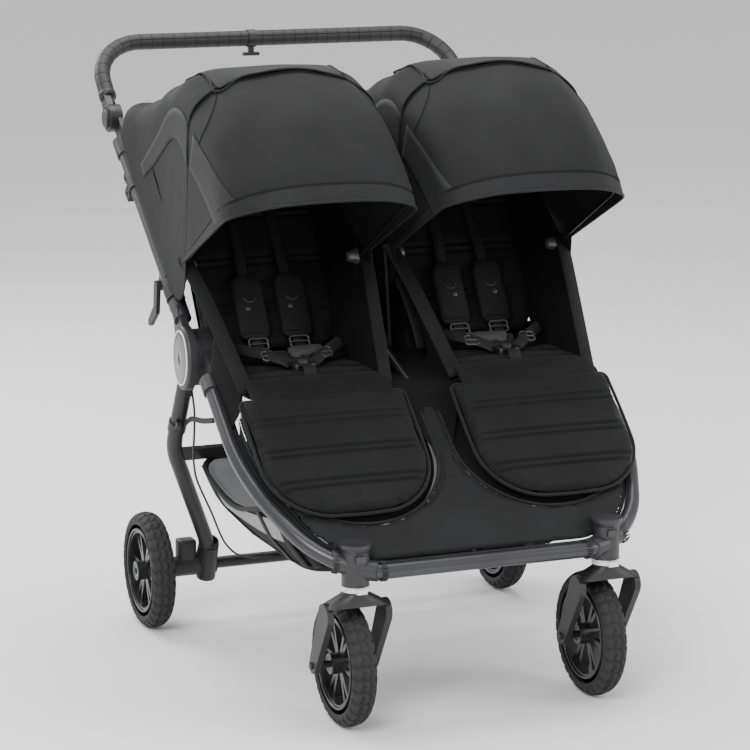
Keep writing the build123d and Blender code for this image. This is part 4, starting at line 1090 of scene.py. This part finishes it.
def basket_ring(level, inset=0.0):
    """Closed line round the basket at a level from 0, its floor, to 1, its rim."""
    z = BASKET_LOW[2] + (BASKET_HIGH[2] - BASKET_LOW[2]) * level
    shape = min(1.0, level * 1.9) ** 0.5
    half_x = 0.218 + (0.030 + 0.031 * level) * shape + 0.026 * level - inset
    rear = BASKET_HIGH[1] + 0.034 * level - 0.046 * (1 - level) - 0.040 * (1 - shape) - inset
    front = BASKET_LOW[1] + 0.010 * (1 - level) + 0.040 * (1 - shape) + inset
    centre_y = (rear + front) / 2
    half_y = (rear - front) / 2
    ring = []
    power = 0.26
    for a in turns(RING_COUNT):
        c, s = cos(a), sin(a)
        x = half_x * abs(c) ** power * (1 if c > 0 else -1)
        y = centre_y + half_y * abs(s) ** power * (1 if s > 0 else -1)
        if abs(c) > abs(s):
            droop = 0.040 * level ** 3 * (1 - abs(y - centre_y) / half_y)
        else:
            droop = 0.014 * level ** 3 * (1 - abs(x) / half_x)
        belly = 0.006 * sin(pi * level) * (1 + 0.4 * sin(5 * a))
        norm = Vector((c, s, 0))
        ring.append(Vector((x, y, z - droop)) + norm * belly)
    return ring


outer_levels = [0.0, 0.04, 0.10, 0.2, 0.3, 0.4, 0.52, 0.64, 0.76, 0.88, 0.94, 1.0]
shell_rows = [basket_ring(v) for v in outer_levels]
floor_middle = Vector((0, (BASKET_LOW[1] + BASKET_HIGH[1]) / 2, BASKET_LOW[2] + 0.002))
floor_rows = [[floor_middle.lerp(p, t) for p in shell_rows[0]] for t in (0.02, 0.35, 0.7)]
shell = cloth_sheet("basket_shell", floor_rows + shell_rows, 0.0026, 1, closed=True)
dress(shell, "front_frame", BASKET_CLOTH, "basket_cloth", "basket")
lining_rows = [basket_ring(v, 0.0042) for v in (0.03, 0.2, 0.4, 0.6, 0.8, 0.93, 0.985)]
lining = thicken(grid("basket_lining", lining_rows, closed=True), 0.0012, 1)
dress(lining, "front_frame", BASKET_LINING, "basket_cloth")
nets = []
for first, last in ((34, 62), (82, 110), (11, 31), (65, 79)):
    levels = [0.50 + 0.06 * k for k in range(7)]
    rows = []
    for v in levels:
        ring = basket_ring(v, -0.0028)
        rows.append([ring[i % RING_COUNT] for i in range(first, last + 1)])
    nets.append(thicken(grid("net", rows), 0.001, 1))
dress(merged("basket_netting", nets), "front_frame", BASKET_NET, "basket_cloth")
bands = []
for index in (2, 7, 13, 20, 28, 35, 41, 46, 50, 57, 62, 68, 76, 83, 89, 94):
    rise = [basket_ring(v, -0.0045)[index] for v in (0.12, 0.3, 0.5, 0.7, 0.88, 0.99)]
    ring = basket_ring(0.5)
    tangent = (ring[(index + 1) % RING_COUNT] - ring[index - 1]).normalized()
    bands.append(strap("band", rise, 0.016, tangent, 0.0014))
rim = basket_ring(0.995, -0.001)
bands.append(curve_through("rim", rim[::2], 0.0042, cyclic=True))
low_hem = basket_ring(0.14, -0.0030)
bands.append(curve_through("hem", low_hem[::2], 0.0016, cyclic=True))
dress(merged("basket_webbing", bands), "front_frame", WEBBING, "basket_cloth")


# ---------------------------------------------------------------- wheels
def tyre(name, centre):
    """Air tyre with a rounded casing, a centre zigzag and angled shoulder blocks."""
    profile = []
    for k in range(29):
        degrees = -118 + 236 * k / 28
        a = radians(degrees)
        profile.append((degrees, 0.0215 * sin(a), 0.0925 + 0.0145 * cos(a)))
    rows = []
    for i, turn in enumerate(turns(240)):
        pitch = (i % 8) / 8
        row = []
        for degrees, x, r in profile:
            a = abs(degrees)
            tread = 0.0
            if a < 34:
                zigzag = 12 * (abs(pitch * 2 - 1) - 0.5)
                groove = abs(abs(degrees + zigzag) - 17) < 5.5
                tread = -0.0026 if groove or (a < 14 and pitch < 0.13) else 0.0010
            elif a < 78:
                shifted = (pitch + (a - 34) / 160) % 1
                tread = -0.0032 if shifted < 0.26 else 0.0010
            elif a < 90:
                tread = -0.0008
            radius = r + tread
            row.append(Vector(centre) + Vector((x, radius * cos(turn), radius * sin(turn))))
        rows.append(row)
    rows.append(rows[0])
    obj = grid(name, rows)
    with mesh_edit(obj) as work:
        bmesh.ops.remove_doubles(work, verts=work.verts, dist=1e-6)
    return obj


LIP_RADIUS = 0.0765
CAP_PROFILE = [(0.0, 0.0175), (0.0008, 0.0172), (0.0014, 0.0150), (0.0010, 0.0105), (0.0002, 0.0100)]


def wheel_trim(name, centre, capped):
    """Lips of the wheel's rim, and a hub cap on each capped face."""
    pieces = []
    for face in (-1, 1):
        lip = [Vector(centre) + Vector((face * 0.0178, LIP_RADIUS * cos(a), LIP_RADIUS * sin(a)))
               for a in turns(48)]
        pieces.append(curve_through("lip", lip, 0.0024, cyclic=True, sides=2))
        if face in capped:
            hub_face = Vector(centre) + Vector((face * 0.0255, 0, 0))
            pieces.append(lathe("cap", hub_face, (face, 0, 0), CAP_PROFILE, 32))
    return merged(name, pieces)


for kind in ("front", "rear"):
    for side, sign in SIDES:
        centre = middle_of(f"tyre_{kind}_{side}")
        body = f"{kind}_wheel_{side}"
        dress(tyre(f"tread_{kind}_{side}", centre), body, TYRE, "tyre_rubber", f"tyre_{kind}_{side}")
        capped = (-1, 1) if kind == "front" else (sign,)
        dress(wheel_trim(f"rim_lips_{kind}_{side}", centre, capped), body, RIM_PLASTIC, "rim_plastic")


# ---------------------------------------------------------------- handle grip
BAR_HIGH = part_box("handlebar_grip")[1]
GRIP_R = 0.015
BAR_Y = BAR_HIGH[1] - GRIP_R
BAR_Z = BAR_HIGH[2] - GRIP_R
BAR_X = BAR_HIGH[0] - GRIP_R
tilt = Vector((0, BAR_Y - HINGE.y, BAR_Z - HINGE.z)).normalized()
grip_corner = Vector((BAR_X, BAR_Y, BAR_Z))
grip_line = rounded_corners([grip_corner - tilt * 0.127, grip_corner, Vector((-BAR_X, BAR_Y, BAR_Z)),
                             Vector((-BAR_X, BAR_Y, BAR_Z)) - tilt * 0.127], [0.092, 0.092], steps=16)
MARK_PROFILE = [(-0.0009, 0.0148), (-0.0004, 0.01535), (0.0004, 0.01535), (0.0009, 0.0148)]
marks = []
stations = evenly(grip_line, 41)
for i in range(1, 40):
    heading = (stations[i + 1] - stations[i - 1]).normalized()
    marks.append(lathe("mark", stations[i], heading, MARK_PROFILE, 24))
dress(merged("grip_joints", marks), "handle", PIPING, "grip_foam")
welt = [p + (Vector((0, -0.72, 0.30)).normalized() * 0.0148) for p in evenly(grip_line, 60)[9:-9]]
dress(curve_through("grip_welt", welt, 0.0009), "handle", PIPING, "grip_foam")
END_PROFILE = [(-0.006, 0.0112), (-0.006, 0.0160), (0.004, 0.0164), (0.006, 0.0152)]
ends = [lathe("end", point, tilt, END_PROFILE, 32) for point in (grip_line[0], grip_line[-1])]
dress(merged("grip_ends", ends), "handle", HARD_PLASTIC, "hard_plastic")


# ---------------------------------------------------------------- frame details
def oval_ring(x, centre, half_y, half_z):
    return [Vector((x, centre.y + half_y * cos(a), centre.z + half_z * sin(a))) for a in turns(48)]


COVER_X = 0.373
for side, sign in SIDES:
    oval = oval_ring(sign * (COVER_X + 0.0004), FOLD, 0.0375, 0.0475)
    ring = curve_through(f"hub_ring_{side}", oval, 0.0016, cyclic=True)
    dress(ring, "upper_frame", WHITE_PLASTIC, "ring_plastic")
    plate_rows = [oval_ring(sign * (COVER_X + 0.0012 * (1 - t * t)), FOLD, 0.0362 * t, 0.0462 * t)
                  for t in (0.02, 0.3, 0.6, 0.85, 1.0)]
    plate = thicken(grid(f"hub_badge_{side}", plate_rows, closed=True), 0.0008)
    dress(plate, "upper_frame", GLOSS_PLASTIC, "hard_plastic")
    hinge_circle = oval_ring(sign * 0.3701, HINGE, 0.0235, 0.0235)
    hinge_ring = curve_through(f"hinge_ring_{side}", hinge_circle, 0.0012, cyclic=True)
    dress(hinge_ring, "handle", HARD_PLASTIC, "hard_plastic")


def rail_at(x, along):
    return RAIL_ORIGIN + X_AXIS * x + RAIL_UP * along


# Serrated collars where the rail meets the corner housings and the fold hubs.
for side, sign in SIDES:
    teeth = []
    slanted = (rail_at(sign * 0.290, 0.042) - rail_at(sign * 0.200, 0)).normalized()
    for base, heading in ((rail_at(sign * 0.186, 0.001), Vector((sign, 0, 0))),
                          (rail_at(sign * 0.259, 0.0275), slanted)):
        side_vector = heading.orthogonal().normalized()
        other = heading.cross(side_vector)
        for a in turns(18):
            spot = base + (side_vector * cos(a) + other * sin(a)) * 0.0158
            tooth = [spot - heading * 0.005, spot, spot + heading * 0.005]
            teeth.append(curve_through("tooth", tooth, 0.0013, sides=1))
    dress(merged(f"collar_teeth_{side}", teeth), "front_frame", HARD_PLASTIC, "hard_plastic")

upper_low, upper_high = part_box("upper_tubes")


def beside_upper(along, lift, x):
    """Point beside an upper tube: along is 0 at its foot and 1 at its head."""
    foot = Vector((x, upper_low[1] + 0.008, upper_low[2] + 0.010))
    head = Vector((x, upper_high[1] - 0.008, upper_high[2] - 0.010))
    across = Vector((0, -(head - foot).z, (head - foot).y)).normalized()
    return foot.lerp(head, along) + across * lift


for side, sign in SIDES:
    edge = [beside_upper(t, 0.0155, sign * 0.3600) for t in (0.10, 0.3, 0.5, 0.7, 0.88)]
    dress(curve_through(f"upper_piping_{side}", edge, 0.0030), "upper_frame", PIPING, "canopy_cloth")
    strap_points = [beside_upper(0.55, -0.020, sign * 0.352), beside_upper(0.40, -0.052, sign * 0.345),
                    beside_upper(0.22, -0.060, sign * 0.340), beside_upper(0.06, -0.040, sign * 0.345)]
    recline_strap = strap(f"recline_strap_{side}", strap_points, 0.024, (0.3, 0.8, 0.5))
    dress(recline_strap, "upper_frame", WEBBING, "pad_cloth")
    hook = [beside_upper(0.86, -0.013, sign * 0.362), beside_upper(0.86, -0.024, sign * 0.364),
            beside_upper(0.83, -0.030, sign * 0.364), beside_upper(0.81, -0.024, sign * 0.364)]
    dress(curve_through(f"side_hook_{side}", hook, 0.0022), "upper_frame", HARD_PLASTIC, "hard_plastic")

# Back cover behind each backrest, with a stretched strap that adjusts the recline.
for side, sign in SIDES:
    rows = []
    for i in range(12):
        t = i / 11
        up = 0.03 + 0.43 * t
        row = []
        for k in range(13):
            u = -1 + k / 6
            belly = 0.020 * (1 - u * u) * sin(pi * t)
            row.append(mirrored(back_point(u * 0.126, up, -0.029 - belly), sign))
        rows.append(row)
    cover = cloth_sheet(f"back_cover_{side}", rows, 0.002, 1)
    dress(cover, f"seat_back_{side}", BASKET_CLOTH, "seat_cloth")
    middle = back_point(0, 0.30, -0.054)
    across_points = [Vector((sign * (SEAT_X + across), middle.y, middle.z)) + BACK_OUT * bulge
                     for across, bulge in ((-0.128, 0.02), (-0.06, 0.003), (0, 0.0),
                                           (0.06, 0.003), (0.128, 0.02))]
    band = strap(f"recline_band_{side}", across_points, 0.024, BACK_UP)
    dress(band, f"seat_back_{side}", WEBBING, "pad_cloth")

# Parking brake's housing on each rear foot, and the leg's moulded sleeve.
for side, sign in SIDES:
    axle = Vector((sign * 0.246, JOINTS["rear_wheel_left"]["pos_m"][1], 0.108))
    case_centre = axle + Vector((sign * 0.038, 0.001, 0.030))
    case = block(f"brake_case_{side}", case_centre, (0.034, 0.030, 0.044), 0.006)
    dress(case, "rear_frame", HARD_PLASTIC, "hard_plastic")
    boot = lathe(f"foot_sleeve_{side}", axle + Vector((0, -0.022, 0.046)), (0, -0.5, 0.868),
                 [(-0.055, 0.0188), (-0.05, 0.0198), (0.0, 0.0192), (0.005, 0.0180), (0.0055, 0.0150)], 36)
    dress(boot, "rear_frame", HARD_PLASTIC, "hard_plastic")

# Ties from each rear leg to the rail.
for side, sign in SIDES:
    path = [(sign * 0.350, 0.030, 0.425), (sign * 0.352, -0.020, 0.446),
            (sign * 0.353, -0.085, 0.456), (sign * 0.353, -0.148, 0.470)]
    tie = strap(f"side_tie_{side}", path, 0.010, (0, 0.2, 1))
    tie.data.materials.append(WEBBING)
    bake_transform(tie)


# ---------------------------------------------------------------- materials of the carried-over nodes
# Each material with the starts of the names of the nodes that have it.
NODE_MATERIALS = (
    (FRAME_METAL, ("front_tube", "upper_tubes")),
    (DARK_METAL, ("upper_cross_tube", "upper_centre_tube", "centre_tube", "canopy_mounts", "rear_axle",
                  "rear_cross_bar", "handlebar_tube", "canopy_bow_")),
    (HARD_PLASTIC, ("rear_leg_", "handle_hinges", "strap_clip", "accessory_brackets", "axle_housings",
                    "brake_lever", "brake_mount", "fold_catch", "fork_")),
    (GREY_PLASTIC, ("front_hubs", "hub_covers", "front_housings", "handle_button_")),
    (BUTTON_PLASTIC, ("wheel_release_", "buckle_button_")),
    (GLOSS_PLASTIC, ("harness_buckles",)),
    (WHITE_PLASTIC, ("swivel_lock_",)),
    (RIM_PLASTIC, ("rim_",)),
    (GRIP, ("handlebar_grip",)),
    (SHEATH, ("brake_cable",)),
    (STEEL, ("brake_pin_",)),
)
for node_name, node in frame["nodes"].items():
    for chosen, starts in NODE_MATERIALS:
        if node_name.startswith(starts):
            for material_slot in node.material_slots:
                material_slot.material = chosen


# ---------------------------------------------------------------- floor, light and camera
floor = mesh_object("floor", [(-14, -12, 0), (14, -12, 0), (14, 16, 0), (-14, 16, 0)], [(0, 1, 2, 3)])
floor_material = shader("floor_pale", (0.86, 0.86, 0.86), 0.9)[0]
floor.data.materials.append(floor_material)

world = bpy.data.worlds.new("studio")
world.use_nodes = True
world.node_tree.nodes["Background"].inputs["Color"].default_value = (1, 1, 1, 1)
world.node_tree.nodes["Background"].inputs["Strength"].default_value = 0.85
SCENE.world = world


def softbox(name, place, target, size, power):
    light = bpy.data.lights.new(name, "AREA")
    light.shape = "RECTANGLE"
    light.size, light.size_y = size
    light.energy = power
    obj = linked(name, light)
    obj.location = place
    obj.rotation_euler = (Vector(target) - Vector(place)).to_track_quat("-Z", "Y").to_euler()


softbox("key", (-2.6, -3.4, 3.4), (0, 0, 0.6), (2.2, 2.2), 190)
softbox("fill", (3.2, -2.6, 2.0), (0, 0, 0.6), (2.0, 2.0), 80)
softbox("top", (0.0, 0.6, 3.8), (0, 0, 0.6), (2.6, 2.6), 110)
softbox("rim", (-1.8, 3.0, 2.4), (0, 0, 0.8), (2.0, 1.4), 90)

camera_data = bpy.data.cameras.new("camera")
camera_data.lens = 136.9
camera_data.sensor_width = 36.0
camera = linked("camera", camera_data)
camera.location = (-1.8750, -4.6852, 1.5320)
camera.rotation_euler = (radians(90 - 11.62), 0, radians(-21.85))
SCENE.camera = camera

bpy.context.view_layer.update()
